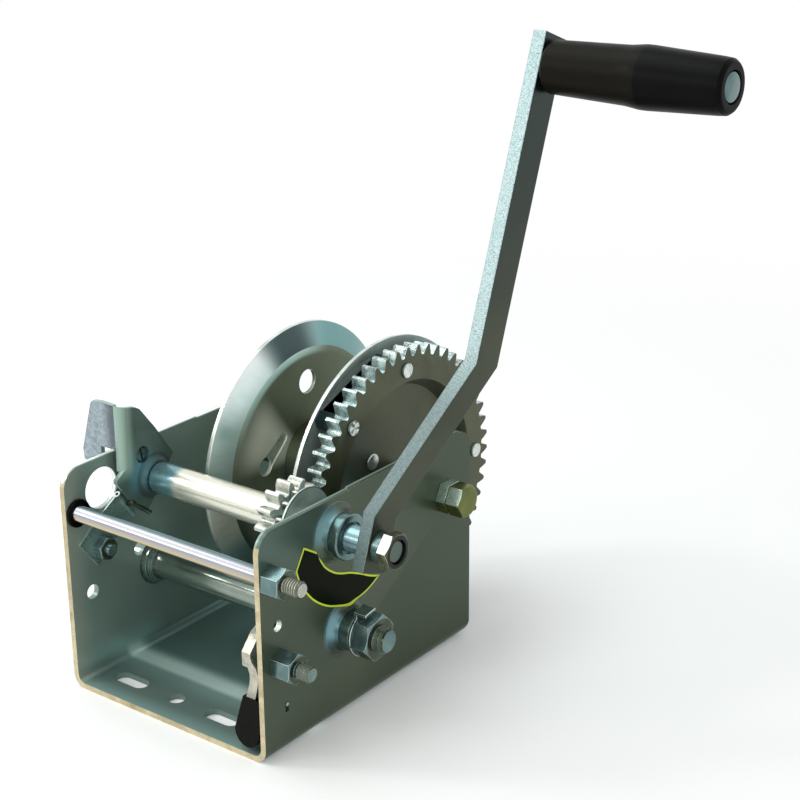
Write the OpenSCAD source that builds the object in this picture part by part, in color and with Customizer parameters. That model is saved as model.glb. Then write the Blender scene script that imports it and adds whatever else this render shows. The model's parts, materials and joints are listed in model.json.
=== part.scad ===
// Two-speed hand winch with a bent U frame, riveted ring gear, flanged drum and cranked handle.
// Units are millimetres. X runs across the side plates toward the crank, Y runs to the rear, Z up.
// The origin is on the underside of the base, midway across and midway along the frame.

/* [Frame] */
// Outside width over the two side plates
frameWidth = 150; // [130:1:180]
// Length of the side plates from front to rear
frameDepth = 192; // [176:1:220]
// Height of the side plates
frameHeight = 137; // [134:1:150]
// Thickness of the bent sheet
sheet = 3.5; // [2.5:0.1:5]
// Inside radius of the two long bends
bendRadius = 5; // [3:0.5:8]
// Radius of the upper plate corners
cornerRadius = 12; // [6:0.5:20]

/* [Base holes] */
// Width of the mounting slots
slotWidth = 10.5; // [8:0.1:13]
// End to end length of the mounting slots
slotLength = 24; // [16:0.5:32]
// Distance between the two slots of a row
slotSpacingX = 72; // [60:0.5:90]
// Distance between the front and rear rows
slotSpacingY = 130; // [100:1:145]
// Distance of the front row from the front edge
slotFromFront = 19.5; // [14:0.5:30]
// Sideways offset of the hole pattern
slotOffsetX = -11; // [-15:0.5:15]

/* [Shafts] */
// Crank axis behind the front edge
crankFromFront = 63.45; // [60:0.05:70]
// Crank axis height
crankHeight = 116; // [112:0.1:120]
// Drop from the crank axis to the drum axis
drumDrop = 13.8; // [8:0.1:20]
// Radius of the crank sleeve
sleeveRadius = 9.5; // [9:0.1:11]
// Radius of the crank journal
journalRadius = 7.9; // [7.2:0.1:8.5]
// Radius of the countershaft axle
layRadius = 7.8; // [6:0.1:9]
// Radius of the drum axle bolt
drumAxleRadius = 6; // [5:0.1:8]
// Radius of the tie rod
tieRadius = 4.7; // [4:0.1:6]
// Running clearance in the bearings
runGap = 0.05; // [0.02:0.01:0.1]

/* [Gears] */
// Module of the ring gear and its pinions
gearModule = 3.2; // [3.1:0.01:3.3]
// Teeth on the crank pinion
crankTeeth = 13; // [12:1:14]
// Teeth on the countershaft pinion
layTeeth = 15; // [14:1:16]
// Teeth on the ring gear
ringTeeth = 52; // [50:1:52]
// Module of the low gear pair
lowModule = 2.75; // [2.6:0.05:2.8]
// Teeth on the large countershaft gear
bigTeeth = 32; // [30:1:32]
// Teeth on the low pinion
lowTeeth = 12; // [11:1:13]
// Width of the ring gear teeth
faceWidth = 10; // [8:0.5:11]
// Distance from the right plate to the far face of the ring gear
gearInset = 35.5; // [34.5:0.5:36.5]
// Turn of the ring gear teeth about the drum axis
ringPhase = 4.75; // [0:0.05:6.9]

/* [Drum] */
// Radius of the drum barrel
barrelRadius = 24; // [18:0.5:28]
// Distance from the left plate to the rope face of the left flange
flangeLeftInset = 41.5; // [37.5:0.5:45.5]
// Distance from the right plate to the rope face of the right flange
flangeRightInset = 51.5; // [50.5:0.5:53.5]
// Thickness of the flange sheet
flangeSheet = 2.5; // [2:0.1:3]
// Outer radius of the left flange
flangeLeftRadius = 85.5; // [80:0.5:88]
// Outer radius of the right flange
flangeRightRadius = 89; // [84:0.5:89]

/* [Crank] */
// Distance from the crank axis to the grip axis
crankLength = 265.7; // [200:0.1:300]
// Lean of the handle from upright
crankLean = 20.4; // [0:0.1:40]
// Thickness of the handle bar
armThick = 8; // [6:0.1:9]
// Width of the handle bar
armWidth = 20.7; // [18:0.1:26]
// Distance from the right plate to the handle at the shaft
armGap = 22.8; // [19:0.1:29]
// Outward joggle of the handle
armJoggle = 43.2; // [30:0.1:55]
// Length of the grip
gripLength = 102.9; // [90:0.1:120]
// Largest radius of the grip
gripRadius = 16.25; // [14.5:0.05:20]

/* [Pawl and lever] */
// Pawl pivot behind the front edge
pawlFromFront = 14.5; // [13:0.1:15]
// Pawl pivot height
pawlHeight = 56.8; // [55:0.1:59]
// Thickness of the shift lever plate
leverThick = 3; // [2.6:0.1:3.6]

/* [Hidden] */
$fn = 96;

plateOut = frameWidth / 2;
plateIn = plateOut - sheet;
gearX = plateIn - gearInset;
flangeLeftX = flangeLeftInset - plateIn;
flangeRightX = plateIn - flangeRightInset;
armX = plateOut + armGap;
front = -frameDepth / 2;
slotY = front + slotFromFront;
crankY = front + crankFromFront;
crankDrum = gearModule * (ringTeeth + crankTeeth) / 2;
crankLay = lowModule * (bigTeeth + lowTeeth) / 2;
drumLay = gearModule * (ringTeeth + layTeeth) / 2;
drumRun = sqrt(crankDrum * crankDrum - drumDrop * drumDrop);
drumY = crankY + drumRun;
drumZ = crankHeight - drumDrop;
layAlong = (crankLay * crankLay - drumLay * drumLay + crankDrum * crankDrum) / (2 * crankDrum);
layAcross = sqrt(crankLay * crankLay - layAlong * layAlong);
layY = crankY + (layAlong * drumRun - layAcross * drumDrop) / crankDrum;
layZ = crankHeight - (layAlong * drumDrop + layAcross * drumRun) / crankDrum;
pawlY = front + pawlFromFront;
tieY = front + 8.5;
tieZ = 109.3;
crankAt = [crankY, crankHeight];
drumAt = [drumY, drumZ];
layAt = [layY, layZ];
pawlAt = [pawlY, pawlHeight];
tieAt = [tieY, tieZ];
springAt = [front + 25, 82];

pressure = 25;
lash = 0.3;
toCrank = atan2(crankHeight - drumZ, crankY - drumY);
toLay = atan2(layZ - drumZ, layY - drumY);
ringStep = 360 / ringTeeth;
crankPhase = meshed(toCrank, crankTeeth);
layPhase = meshed(toLay, layTeeth);

bushFlange = 15;
bushBody = 11;
boreLay = 9;
bossDraw = 5;
bossEnd = plateOut + bossDraw;
ringRadius = 13.4;
layRing = 12.4;
ringEnd = bossEnd + 6.5;
layRingEnd = bossEnd + 7.5;
layEnd = layRingEnd + 19;
tabWidth = 9;
gearEnd = gearX + faceWidth;
lowX = gearEnd + 1;
lowWidth = 5.5;
discX = lowX + lowWidth;
bigX = plateIn - 11;
bigWidth = 5.5;
webX = gearX - 3.5;
hubTube = 11;
hubStep = 16;
rivetCircle = 72.5;
rivetCount = 8;
rivetRadius = 4;
armOut = armX + armThick;
armUpper = armX + armJoggle;
gripX = armUpper + armThick + 1.4;
gripEnd = gripX + gripLength;
pinRadius = 4.5;
pinHead = 7.8;
axleFlats = 18;
leverX = 5.5 - plateIn;
leverFace = leverX + leverThick;
leverBend = 5;
padLow = 139.2;
collarEnd = leverFace + 3.6;
collarRadius = 10;
rodEnd = plateOut + 22.5;
springRod = 3.5;
rodFlats = 16;
pawlX = plateIn - 12;
pawlThick = 6;
leverJournal = 7.5;
studRadius = 6;
studFlat = 5.3;
spacerLength = 5.7;
nutSlope = 0.577;
keyBig = 5.8;
keySmall = 3.4;
keyAt = onCircle(41.7, 171);
keyTail = onCircle(31, 140);

// Phase of a pinion that meshes with the ring gear in the given direction.
function meshed(direction, teeth) = direction + 180 + 180 / teeth
    - (ceil((direction - ringPhase) / ringStep) * ringStep + ringPhase - direction) * ringTeeth / teeth;

// Involute angle in degrees of a pressure angle.
function invAngle(a) = tan(a) * 180 / PI - a;

// Half the tooth angle at a radius.
function toothHalf(m, n, r) = let (
    pitch = m * n / 2,
    base = pitch * cos(pressure),
    here = r < base ? 0 : acos(base / r)
) 90 / n - lash / 2 / pitch * 180 / PI + invAngle(pressure) - invAngle(here);

function onCircle(r, a) = [r * cos(a), r * sin(a)];

// Outline of an involute spur gear.
function gearOutline(m, n, phase, add, ded, steps) = let (
    tip = m * n / 2 + add,
    root = m * n / 2 - ded,
    low = max(root + 0.6, m * n / 2 * cos(pressure))
) [for (k = [0 : n - 1]) let (mid = phase + k * 360 / n) each concat(
    [onCircle(root, mid - toothHalf(m, n, low) - 18 / n)],
    [for (i = [0 : steps]) let (r = low + (tip - low) * i / steps) onCircle(r, mid - toothHalf(m, n, r))],
    [for (i = [steps : -1 : 0]) let (r = low + (tip - low) * i / steps) onCircle(r, mid + toothHalf(m, n, r))],
    [onCircle(root, mid + toothHalf(m, n, low) + 18 / n)]
)];

// Points of radius and X along a hollow curve from a plane face out to a sleeve.
function flare(r, x, draw) = [for (a = [12 : 13 : 90]) [r + draw - draw * sin(a), x + draw - draw * cos(a)]];

// Extrusion along X of a drawing in Y and Z.
module across(x0, x1) {
    translate([x0, 0, 0])
        rotate([90, 0, 90])
            linear_extrude(x1 - x0)
                children();
}

module rodX(x0, x1, r, at) {
    translate([x0, at[0], at[1]])
        rotate([0, 90, 0])
            cylinder(r = r, h = x1 - x0);
}

// Solid of revolution about an X axis from points of radius and X.
module turned(at, points) {
    translate([0, at[0], at[1]])
        rotate([0, 90, 0])
            rotate_extrude()
                polygon(points);
}

module gearX(x0, x1, at, outline) {
    translate([0, at[0], at[1]])
        across(x0, x1)
            polygon(outline);
}

// Hexagonal bar along X.
module hexBar(x0, x1, flats, at, turn) {
    translate([x0, at[0], at[1]])
        rotate([0, 90, 0])
            rotate([0, 0, turn])
                cylinder(r = flats / sqrt(3), h = x1 - x0, $fn = 6);
}

// Hexagon nut with its corners turned off on the right.
module hexX(x0, x1, flats, at, turn = 0) {
    wide = flats / sqrt(3) + 1;
    nose = flats / 2 - 0.3;
    intersection() {
        hexBar(x0, x1, flats, at, turn);
        turned(at, [[0, x0], [wide, x0], [wide, x1 - (wide - nose) * nutSlope], [nose, x1], [0, x1]]);
    }
}

// Hexagon head with its corners turned off on the left.
module hexBackX(x0, x1, flats, at, turn = 0) {
    wide = flats / sqrt(3) + 1;
    nose = flats / 2 - 0.3;
    intersection() {
        hexBar(x0, x1, flats, at, turn);
        turned(at, [[0, x1], [wide, x1], [wide, x0 + (wide - nose) * nutSlope], [nose, x0], [0, x0]]);
    }
}

module baseSlot(x, y) {
    reach = (slotLength - slotWidth) / 2;
    translate([x, y, -1])
        linear_extrude(sheet + 2)
            union() {
                square([reach * 2, slotWidth], center = true);
                translate([reach, 0])
                    circle(d = slotWidth);
                translate([-reach, 0])
                    circle(d = slotWidth);
            }
}

// Side outline of a plate with an optional step in its top edge.
module plateOutline(stepAt, rise) {
    back = -front;
    top = frameHeight + rise;
    r = cornerRadius;
    low = 9.5;
    difference() {
        union() {
            translate([front, 0])
                square([frameDepth, frameHeight - r]);
            translate([front + r, 0])
                square([stepAt - front - r, frameHeight]);
            translate([stepAt, 0])
                square([back - r - stepAt, top]);
            translate([back - r - 1, 0])
                square([r + 1, top - r]);
            translate([front + r, frameHeight - r])
                circle(r = r);
            translate([back - r, top - r])
                circle(r = r);
        }
        difference() {
            translate([back - low, -1])
                square([low + 1, low + 1]);
            translate([back - low, low])
                circle(r = low);
        }
    }
}

module uProfile() {
    outer = bendRadius + sheet;
    tall = frameHeight + 5;
    difference() {
        union() {
            translate([-plateOut, outer])
                square([frameWidth, tall - outer]);
            translate([-plateOut + outer, 0])
                square([frameWidth - 2 * outer, outer]);
            for (s = [-1, 1])
                translate([s * (plateOut - outer), outer])
                    circle(r = outer);
        }
        translate([-plateIn, outer])
            square([2 * plateIn, tall]);
        translate([-plateIn + bendRadius, sheet])
            square([2 * (plateIn - bendRadius), tall]);
        for (s = [-1, 1])
            translate([s * (plateIn - bendRadius), outer])
                circle(r = bendRadius);
    }
}

// Boss drawn outward from the right plate around a shaft.
module drawnBoss(at, r) {
    turned(at, concat([[0, plateIn + 1], [r + bossDraw, plateIn + 1]], flare(r, plateOut, bossDraw),
        [[r, bossEnd], [0, bossEnd]]));
}

module frame() {
    color([0.62, 0.66, 0.62])
        difference() {
            union() {
                intersection() {
                    translate([0, -front, 0])
                        rotate([90, 0, 0])
                            linear_extrude(frameDepth)
                                uProfile();
                    union() {
                        across(0, plateOut)
                            plateOutline(front + 77, 0.8);
                        across(-plateOut, 0)
                            plateOutline(front + 110, -0.8);
                    }
                }
                drawnBoss(crankAt, ringRadius + 0.3);
                drawnBoss(layAt, layRing + 0.3);
            }
            translate([-plateOut + sheet + bendRadius, -front - 12, -1])
                cube([frameWidth - 2 * (sheet + bendRadius), 13, sheet + 2]);
            for (x = [-0.5, 0.5])
                for (row = [0, 1])
                    baseSlot(slotOffsetX + x * slotSpacingX, slotY + row * slotSpacingY);
            translate([slotOffsetX, slotY, -1])
                cylinder(d = slotWidth, h = sheet + 2);
            rodX(-plateOut - 1, plateOut + 1, tieRadius + runGap, tieAt);
            rodX(-plateOut - 1, bossEnd + 1, bushBody + runGap, crankAt);
            rodX(-plateOut - 1, bossEnd + 1, boreLay + runGap, layAt);
            rodX(-plateOut - 1, plateOut + 1, drumAxleRadius + runGap, drumAt);
            rodX(0, plateOut + 1, 4.7 + runGap, pawlAt);
            rodX(0, plateOut + 1, 3.3, [front + 13.3, 79.8]);
            translate([plateIn - 1, front + 17.2, 24.9])
                cube([sheet + 2, 3, 6]);
            rodX(-plateOut - 1, 0, springRod + runGap, springAt);
            rodX(-plateOut - 1, 0, 12.6, [front + 28.5, 118]);
            rodX(-plateOut - 1, 0, 4.5, [front + 55.8, 69]);
            rodX(-plateOut - 1, 0, 4.5, [front + 16, 56]);
        }
}

module tie_rod() {
    color([0.75, 0.77, 0.78])
        union() {
            rodX(-plateOut, rodEnd, tieRadius, tieAt);
            turned(tieAt, [[0, -plateOut - 1.4], [4.4, -plateOut - 1.4], [6.2, -plateOut], [0, -plateOut]]);
        }
}

module tie_rod_washer() {
    color([0.06, 0.06, 0.06])
        difference() {
            rodX(-plateIn, -plateIn + 2.2, 8.5, tieAt);
            rodX(-plateIn - 1, -plateIn + 4, tieRadius + runGap, tieAt);
        }
}

module tie_rod_nut() {
    color([0.6, 0.66, 0.68])
        difference() {
            hexX(plateOut, plateOut + 12, rodFlats, tieAt, 57);
            rodX(plateOut - 1, plateOut + 13, tieRadius + runGap, tieAt);
        }
}

// Bushing that stands out of the drawn boss as a plain ring.
module crank_bushing_right() {
    color([0.6, 0.64, 0.6])
        difference() {
            turned(crankAt, [[0, plateIn], [bushBody, plateIn], [bushBody, bossEnd],
                [ringRadius, bossEnd], [ringRadius, ringEnd - 0.8], [ringRadius - 0.8, ringEnd],
                [0, ringEnd]]);
            rodX(plateIn - 1, ringEnd + 1, journalRadius + runGap, crankAt);
            rodX(ringEnd - 2, ringEnd + 1, journalRadius + 1.2, crankAt);
        }
}

module crank_bushing_left() {
    color([0.6, 0.64, 0.6])
        difference() {
            turned(crankAt, [[0, -plateOut - 3], [bushFlange, -plateOut - 3],
                [bushFlange, -plateOut], [bushBody, -plateOut], [bushBody, -plateIn],
                [0, -plateIn]]);
            rodX(-plateOut - 4, -plateIn + 1, leverJournal + runGap, crankAt);
        }
}

// Fixed axle of the countershaft with a shoulder that stops the gear cluster.
module countershaft() {
    color([0.72, 0.75, 0.76])
        union() {
            turned(layAt, [[0, -plateOut - 6], [layRadius, -plateOut - 6], [layRadius, layEnd - 2],
                [layRadius - 2, layEnd], [0, layEnd]]);
            rodX(-plateIn + 6, gearX - 0.5, layRadius + 1.6, layAt);
            rodX(-plateOut - 9, -plateOut - 3, 12, layAt);
        }
}

module countershaft_bushing_left() {
    color([0.6, 0.64, 0.6])
        difference() {
            turned(layAt, [[0, -plateOut - 3], [13.4, -plateOut - 3], [13.4, -plateOut],
                [boreLay, -plateOut], [boreLay, -plateIn], [13.4, -plateIn], [13.4, -plateIn + 3],
                [11.6, -plateIn + 3], [11.6, -plateIn + 6], [0, -plateIn + 6]]);
            rodX(-plateOut - 4, -plateIn + 7, layRadius + runGap, layAt);
        }
}

module countershaft_spacer() {
    color([0.6, 0.64, 0.6])
        difference() {
            rodX(bigX + bigWidth + 0.5, plateIn, 11.5, layAt);
            rodX(bigX, plateIn + 1, layRadius + runGap, layAt);
        }
}

module countershaft_bushing_right() {
    color([0.55, 0.62, 0.64])
        difference() {
            turned(layAt, [[0, plateIn], [boreLay, plateIn], [boreLay, bossEnd], [layRing, bossEnd],
                [layRing, layRingEnd - 0.7], [layRing - 0.7, layRingEnd], [0, layRingEnd]]);
            rodX(plateIn - 1, layRingEnd + 1, layRadius + runGap, layAt);
        }
}

// Washer with a bent lug that locks the countershaft nut.
module countershaft_tab_washer() {
    x = layRingEnd;
    color([0.5, 0.58, 0.58])
        difference() {
            union() {
                rodX(x, x + 1.8, 13.4, layAt);
                translate([x, layY, layZ])
                    rotate([10, 0, 0])
                        union() {
                            translate([0, -tabWidth / 2, 0])
                                cube([1.8, tabWidth, 16.6]);
                            translate([0, -tabWidth / 2, 15])
                                cube([8.5, tabWidth, 1.6]);
                        }
            }
            rodX(x - 1, x + 3, layRadius + runGap, layAt);
        }
}

module countershaft_nut() {
    x = layRingEnd + 1.8;
    color([0.6, 0.66, 0.66])
        difference() {
            hexX(x, x + 11, 24, layAt, 43);
            rodX(x - 1, x + 12, layRadius + runGap, layAt);
        }
}

module drum_axle_bolt() {
    color([0.62, 0.63, 0.45])
        union() {
            rodX(-plateOut, plateOut + 15, drumAxleRadius, drumAt);
            hexBackX(-plateOut - 7, -plateOut, axleFlats, drumAt);
        }
}

module drum_axle_nut() {
    color([0.62, 0.63, 0.45])
        difference() {
            hexBar(plateOut, plateOut + 6.5, axleFlats, drumAt, 30);
            rodX(plateOut - 1, plateOut + 8, drumAxleRadius + runGap, drumAt);
        }
}

// Closed nut with a washer face that bears on the first nut.
module drum_axle_lock_nut() {
    x = plateOut + 6.5;
    color([0.62, 0.63, 0.45])
        difference() {
            union() {
                rodX(x, x + 1, axleFlats / 2 - 1, drumAt);
                hexX(x + 0.7, x + 10.5, axleFlats, drumAt, 30);
            }
            rodX(x - 1, plateOut + 15.1, drumAxleRadius + runGap, drumAt);
        }
}

// Pivot of the pawl with a collar that stands it off the plate.
module pawl_bolt() {
    color([0.62, 0.64, 0.6])
        union() {
            rodX(pawlX - 0.5, rodEnd, 4.7, pawlAt);
            rodX(pawlX + pawlThick + 0.5, plateIn, 6, pawlAt);
            hexBackX(pawlX - 5, pawlX - 0.5, 13, pawlAt);
        }
}

module pawl_nut() {
    color([0.6, 0.66, 0.68])
        difference() {
            hexX(plateOut, plateOut + 13, rodFlats, pawlAt, 54);
            rodX(plateOut - 1, plateOut + 14, 4.7 + runGap, pawlAt);
        }
}

// Detent strip bent off the left plate with a rolled tip.
module leaf_spring() {
    wide = 21.7;
    thick = 1;
    color([0.7, 0.72, 0.7])
        difference() {
            translate([-plateIn, front + 14.5, 80])
                rotate([37, 0, 0])
                    union() {
                        translate([0, 0, -wide / 2])
                            cube([thick, 22, wide]);
                        translate([0, 22, -wide / 2])
                            rotate([0, 0, -7])
                                cube([thick, 14.5, wide]);
                        translate([2.4, 37.6, -wide / 2])
                            difference() {
                                cylinder(r = 2, h = wide);
                                translate([0, 0, -1])
                                    cylinder(r = 1, h = wide + 2);
                            }
                    }
            rodX(-plateOut, -plateIn + 4, springRod + runGap, springAt);
        }
}

module leaf_spring_bolt() {
    color([0.65, 0.67, 0.66])
        union() {
            rodX(-plateOut, -plateIn + 10, springRod, springAt);
            hexBackX(-plateOut - 4, -plateOut, 12, springAt);
        }
}

module leaf_spring_nut() {
    color([0.6, 0.64, 0.66])
        difference() {
            hexX(-plateIn + 1, -plateIn + 7, 13, springAt, 10);
            rodX(-plateIn, -plateIn + 9, springRod + runGap, springAt);
        }
}

module crank_shaft() {
    color([0.74, 0.76, 0.77])
        union() {
            rodX(-plateOut - 9, collarEnd + 1, leverJournal, crankAt);
            rodX(collarEnd + 0.9, gearX, sleeveRadius, crankAt);
            rodX(gearX, armX, journalRadius, crankAt);
            rodX(armOut, armOut + spacerLength + 5.4, studRadius, crankAt);
            rodX(armX - 1, armOut + 5, studFlat - 0.3, crankAt);
            translate([0, crankY, crankHeight])
                rotate([-crankLean, 0, 0])
                    intersection() {
                        rodX(armX, armOut, 7, [0, 0]);
                        translate([armX, -studFlat, -8])
                            cube([armThick, 2 * studFlat, 16]);
                    }
        }
}

module high_pinion() {
    color([0.7, 0.72, 0.72])
        difference() {
            gearX(gearX, gearEnd, crankAt,
                gearOutline(gearModule, crankTeeth, crankPhase, 2.7, 3.5, 5));
            rodX(gearX - 1, gearEnd + 1, journalRadius + runGap, crankAt);
        }
}

module low_pinion() {
    color([0.66, 0.68, 0.68])
        difference() {
            union() {
                gearX(lowX, discX, crankAt, gearOutline(lowModule, lowTeeth, 7, 2.6, 3, 5));
                rodX(gearEnd, lowX + 1, 13, crankAt);
            }
            rodX(gearEnd - 1, discX + 1, journalRadius + runGap, crankAt);
        }
}

module pinion_disc() {
    color([0.3, 0.32, 0.32])
        difference() {
            rodX(discX, discX + 2, 21, crankAt);
            rodX(discX - 1, discX + 3, journalRadius + runGap, crankAt);
        }
}

// Handle bar bent outward between the shaft end and the grip.
module crank_arm() {
    half = armThick / 2;
    low = armX + half;
    high = armUpper + half;
    lean = atan2(armJoggle, 92);
    nib = half * tan(lean / 2);
    color([0.62, 0.66, 0.66])
        translate([0, crankY, crankHeight])
            rotate([-crankLean, 0, 0])
                difference() {
                    rotate([90, 0, 0])
                        linear_extrude(armWidth, center = true)
                            polygon([[low - half, -15], [low + half, -15], [low + half, 17 - nib],
                                [high + half, 109 - nib], [high + half, crankLength + 16.3],
                                [high - half, crankLength + 16.3], [high - half, 109 + nib],
                                [low - half, 17 + nib]]);
                    intersection() {
                        rodX(armX - 1, armOut + 1, 7 + runGap, [0, 0]);
                        translate([armX - 1, -studFlat - runGap, -8])
                            cube([armThick + 2, 2 * (studFlat + runGap), 16]);
                    }
                    rodX(armUpper - 1, armUpper + armThick + 1, pinRadius + runGap, [0, crankLength]);
                }
}

module crank_spacer() {
    color([0.55, 0.62, 0.64])
        difference() {
            rodX(armOut, armOut + spacerLength, 8.8, crankAt);
            rodX(armOut - 1, armOut + spacerLength + 1, studRadius + runGap, crankAt);
        }
}

module crank_nut() {
    x = armOut + spacerLength;
    color([0.68, 0.7, 0.68])
        difference() {
            hexX(x, x + 6.7, 19, crankAt, 19);
            rodX(x - 1, x + 8, studRadius + runGap, crankAt);
            rodX(x + 4.4, x + 8, studRadius + 1, crankAt);
        }
}

gripAt = [crankY + crankLength * sin(crankLean), crankHeight + crankLength * cos(crankLean)];

module grip_pin() {
    color([0.7, 0.72, 0.72])
        union() {
            rodX(armUpper, gripEnd - 2, pinRadius, gripAt);
            turned(gripAt, [[0, armUpper - 1.6], [5.4, armUpper - 1.6], [6.6, armUpper], [0, armUpper]]);
            turned(gripAt, [[0, gripEnd - 2], [pinHead, gripEnd - 2], [pinHead, gripEnd - 0.6],
                [pinHead - 1.2, gripEnd + 0.4], [0, gripEnd + 0.4]]);
        }
}

module grip() {
    g = gripX;
    color([0.08, 0.08, 0.08])
        difference() {
            turned(gripAt, [[0, g], [13, g], [13.9, g + 1.5], [15.2, g + 45.5], [gripRadius, g + 54],
                [gripRadius, g + 58], [14.4, gripEnd - 6], [14, gripEnd - 2], [12.6, gripEnd], [0, gripEnd]]);
            rodX(g - 1, gripEnd + 1, pinRadius + runGap, gripAt);
            rodX(gripEnd - 2.3, gripEnd + 1, pinHead + 0.5, gripAt);
        }
}

module drum_hub() {
    color([0.6, 0.64, 0.6])
        difference() {
            turned(drumAt, [[0, -plateIn + 0.5], [hubTube, -plateIn + 0.5],
                [hubTube, flangeLeftX], [barrelRadius, flangeLeftX], [barrelRadius, flangeRightX],
                [hubStep, flangeRightX], [hubStep, webX], [hubTube, webX],
                [hubTube, plateIn - 0.5], [0, plateIn - 0.5]]);
            rodX(-plateOut, plateOut, drumAxleRadius + runGap, drumAt);
        }
}

// Pressed recess that runs from the round anchor hole toward the barrel.
module anchorTail() {
    away = keyTail - keyAt;
    turn = atan2(away[1], away[0]);
    polygon([keyAt + onCircle(keyBig - 1, turn + 90), keyAt + onCircle(keyBig - 1, turn - 90),
        keyTail + onCircle(keySmall, turn - 90), keyTail + onCircle(keySmall, turn - 30),
        keyTail + onCircle(keySmall, turn + 30), keyTail + onCircle(keySmall, turn + 90)]);
}

module flange_left() {
    x = flangeLeftX;
    t = flangeSheet;
    r = flangeLeftRadius;
    bend = 69;
    color([0.6, 0.66, 0.66])
        difference() {
            turned(drumAt, [[0, x], [bend, x], [r, x - 7.4], [r, x - 9.9], [bend, x - t], [0, x - t]]);
            rodX(x - t - 1, x + 1, hubTube + runGap, drumAt);
            rodX(x - t - 1, x + 1, 7.5, [drumY, drumZ + 50]);
            rodX(x - t - 1, x + 1, keyBig, drumAt + keyAt);
            translate([0, drumY, drumZ])
                across(x - 0.9, x + 1)
                    anchorTail();
        }
}

module rivetRing(x0, x1, r) {
    for (k = [0 : rivetCount - 1])
        rodX(x0, x1, r, drumAt + onCircle(rivetCircle, 45 * k - 1));
}

module flange_right() {
    x = flangeRightX;
    t = flangeSheet;
    r = flangeRightRadius;
    bend = 77;
    color([0.6, 0.66, 0.66])
        difference() {
            turned(drumAt, [[0, x + t], [bend, x + t], [r, x + 11], [r, x + 8.5], [bend + 1, x], [0, x]]);
            rodX(x - 1, x + t + 1, hubStep + runGap, drumAt);
            rivetRing(x - 1, x + t + 1, rivetRadius + runGap);
        }
}

// Toothed ring with a dished web that sits against the step of the hub.
module ring_gear() {
    color([0.56, 0.6, 0.58])
        difference() {
            union() {
                gearX(gearX, gearEnd, drumAt,
                    gearOutline(gearModule, ringTeeth, ringPhase, 2.9, 3.3, 4));
                rodX(webX, gearX, 66, drumAt);
            }
            turned(drumAt, [[0, gearX], [60, gearX], [65, gearEnd], [65, gearEnd + 1], [0, gearEnd + 1]]);
            rodX(webX - 1, gearEnd, hubTube + runGap, drumAt);
            rivetRing(webX - 1, gearEnd + 1, rivetRadius + runGap);
        }
}

module gear_rivets() {
    color([0.7, 0.72, 0.7])
        union() {
            rivetRing(flangeRightX, gearEnd, rivetRadius);
            rivetRing(flangeRightX - 1.2, flangeRightX, rivetRadius + 1);
            rivetRing(flangeRightX + flangeSheet, gearX, rivetRadius + 1.6);
            rivetRing(gearEnd, gearEnd + 0.8, rivetRadius + 0.7);
        }
}

module countershaft_pinion() {
    color([0.64, 0.68, 0.68])
        difference() {
            gearX(gearX, gearEnd, layAt,
                gearOutline(gearModule, layTeeth, layPhase, 2.8, 3.5, 5));
            rodX(gearX - 1, gearEnd + 1, layRadius + runGap, layAt);
        }
}

module countershaft_gear() {
    color([0.56, 0.6, 0.58])
        difference() {
            union() {
                gearX(bigX, bigX + bigWidth, layAt,
                    gearOutline(lowModule, bigTeeth, 3, 2.6, 3, 4));
                rodX(gearEnd, bigX, 14, layAt);
            }
            rodX(gearEnd - 1, bigX + bigWidth + 1, layRadius + runGap, layAt);
        }
}

// Pawl plate with a nose above the pivot and a joggled tail below it.
module pawl() {
    color([0.68, 0.66, 0.58])
        difference() {
            union() {
                translate([0, pawlY, pawlHeight])
                    across(pawlX, pawlX + pawlThick)
                        polygon([[-13.5, -0.3], [-2.5, -6.3], [3.5, -6.3], [6.5, -3.8], [6.9, 1.2],
                            [5, 6.2], [4, 11.2], [12.2, 19.2], [5.5, 21.8], [-5.5, 17.2], [-13.5, 8.2]]);
                translate([pawlX, pawlY - 6.5, pawlHeight])
                    rotate([90, 0, 0])
                        linear_extrude(7)
                            polygon([[0, 8.2], [-0.1, 5.2], [1, 2.7], [3.8, -0.3], [5.1, -3.8],
                                [5.1, -7.8], [3.9, -12.8], [1.3, -20.8], [7.7, -20.8], [9.9, -12.8],
                                [10.9, -7.8], [11, -3.8], [9.8, 0.2], [7, 3.2], [6, 5.7], [6, 8.2]]);
            }
            rodX(pawlX - 1, plateIn, 4.7 + runGap, pawlAt);
        }
}

module pawl_tip() {
    color([0.05, 0.05, 0.05])
        difference() {
            translate([pawlX, pawlY - 2.5, pawlHeight])
                rotate([90, 0, 0])
                    linear_extrude(11.5)
                        polygon([[-0.3, -18.8], [10.8, -18.8], [11.2, -34.8], [10.8, -41.3], [8.7, -46.4],
                            [5.5, -49.6], [2, -50.6], [-1.5, -50], [-4.9, -47.6], [-6.9, -44],
                            [-7.2, -40.8]]);
            translate([pawlX, pawlY - 6.5, pawlHeight])
                rotate([90, 0, 0])
                    linear_extrude(7)
                        polygon([[1.3, -20.8], [7.7, -20.8], [8.7, -16.8], [2.6, -16.8]]);
        }
}

// Cross-section of the lever in X and Y with a rounded bend between pad and plate.
module leverSection() {
    y = front + 38;
    difference() {
        union() {
            translate([leverX - 32, y])
                square([32 + leverThick - leverBend, leverThick]);
            translate([leverX, y + leverBend])
                square([leverThick, 50]);
            translate([leverFace - leverBend, y + leverBend])
                circle(r = leverBend);
        }
        translate([leverFace - leverBend, y + leverBend])
            circle(r = leverBend - leverThick);
        translate([leverX - 12, y + leverThick])
            square([12, 50]);
    }
}

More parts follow.
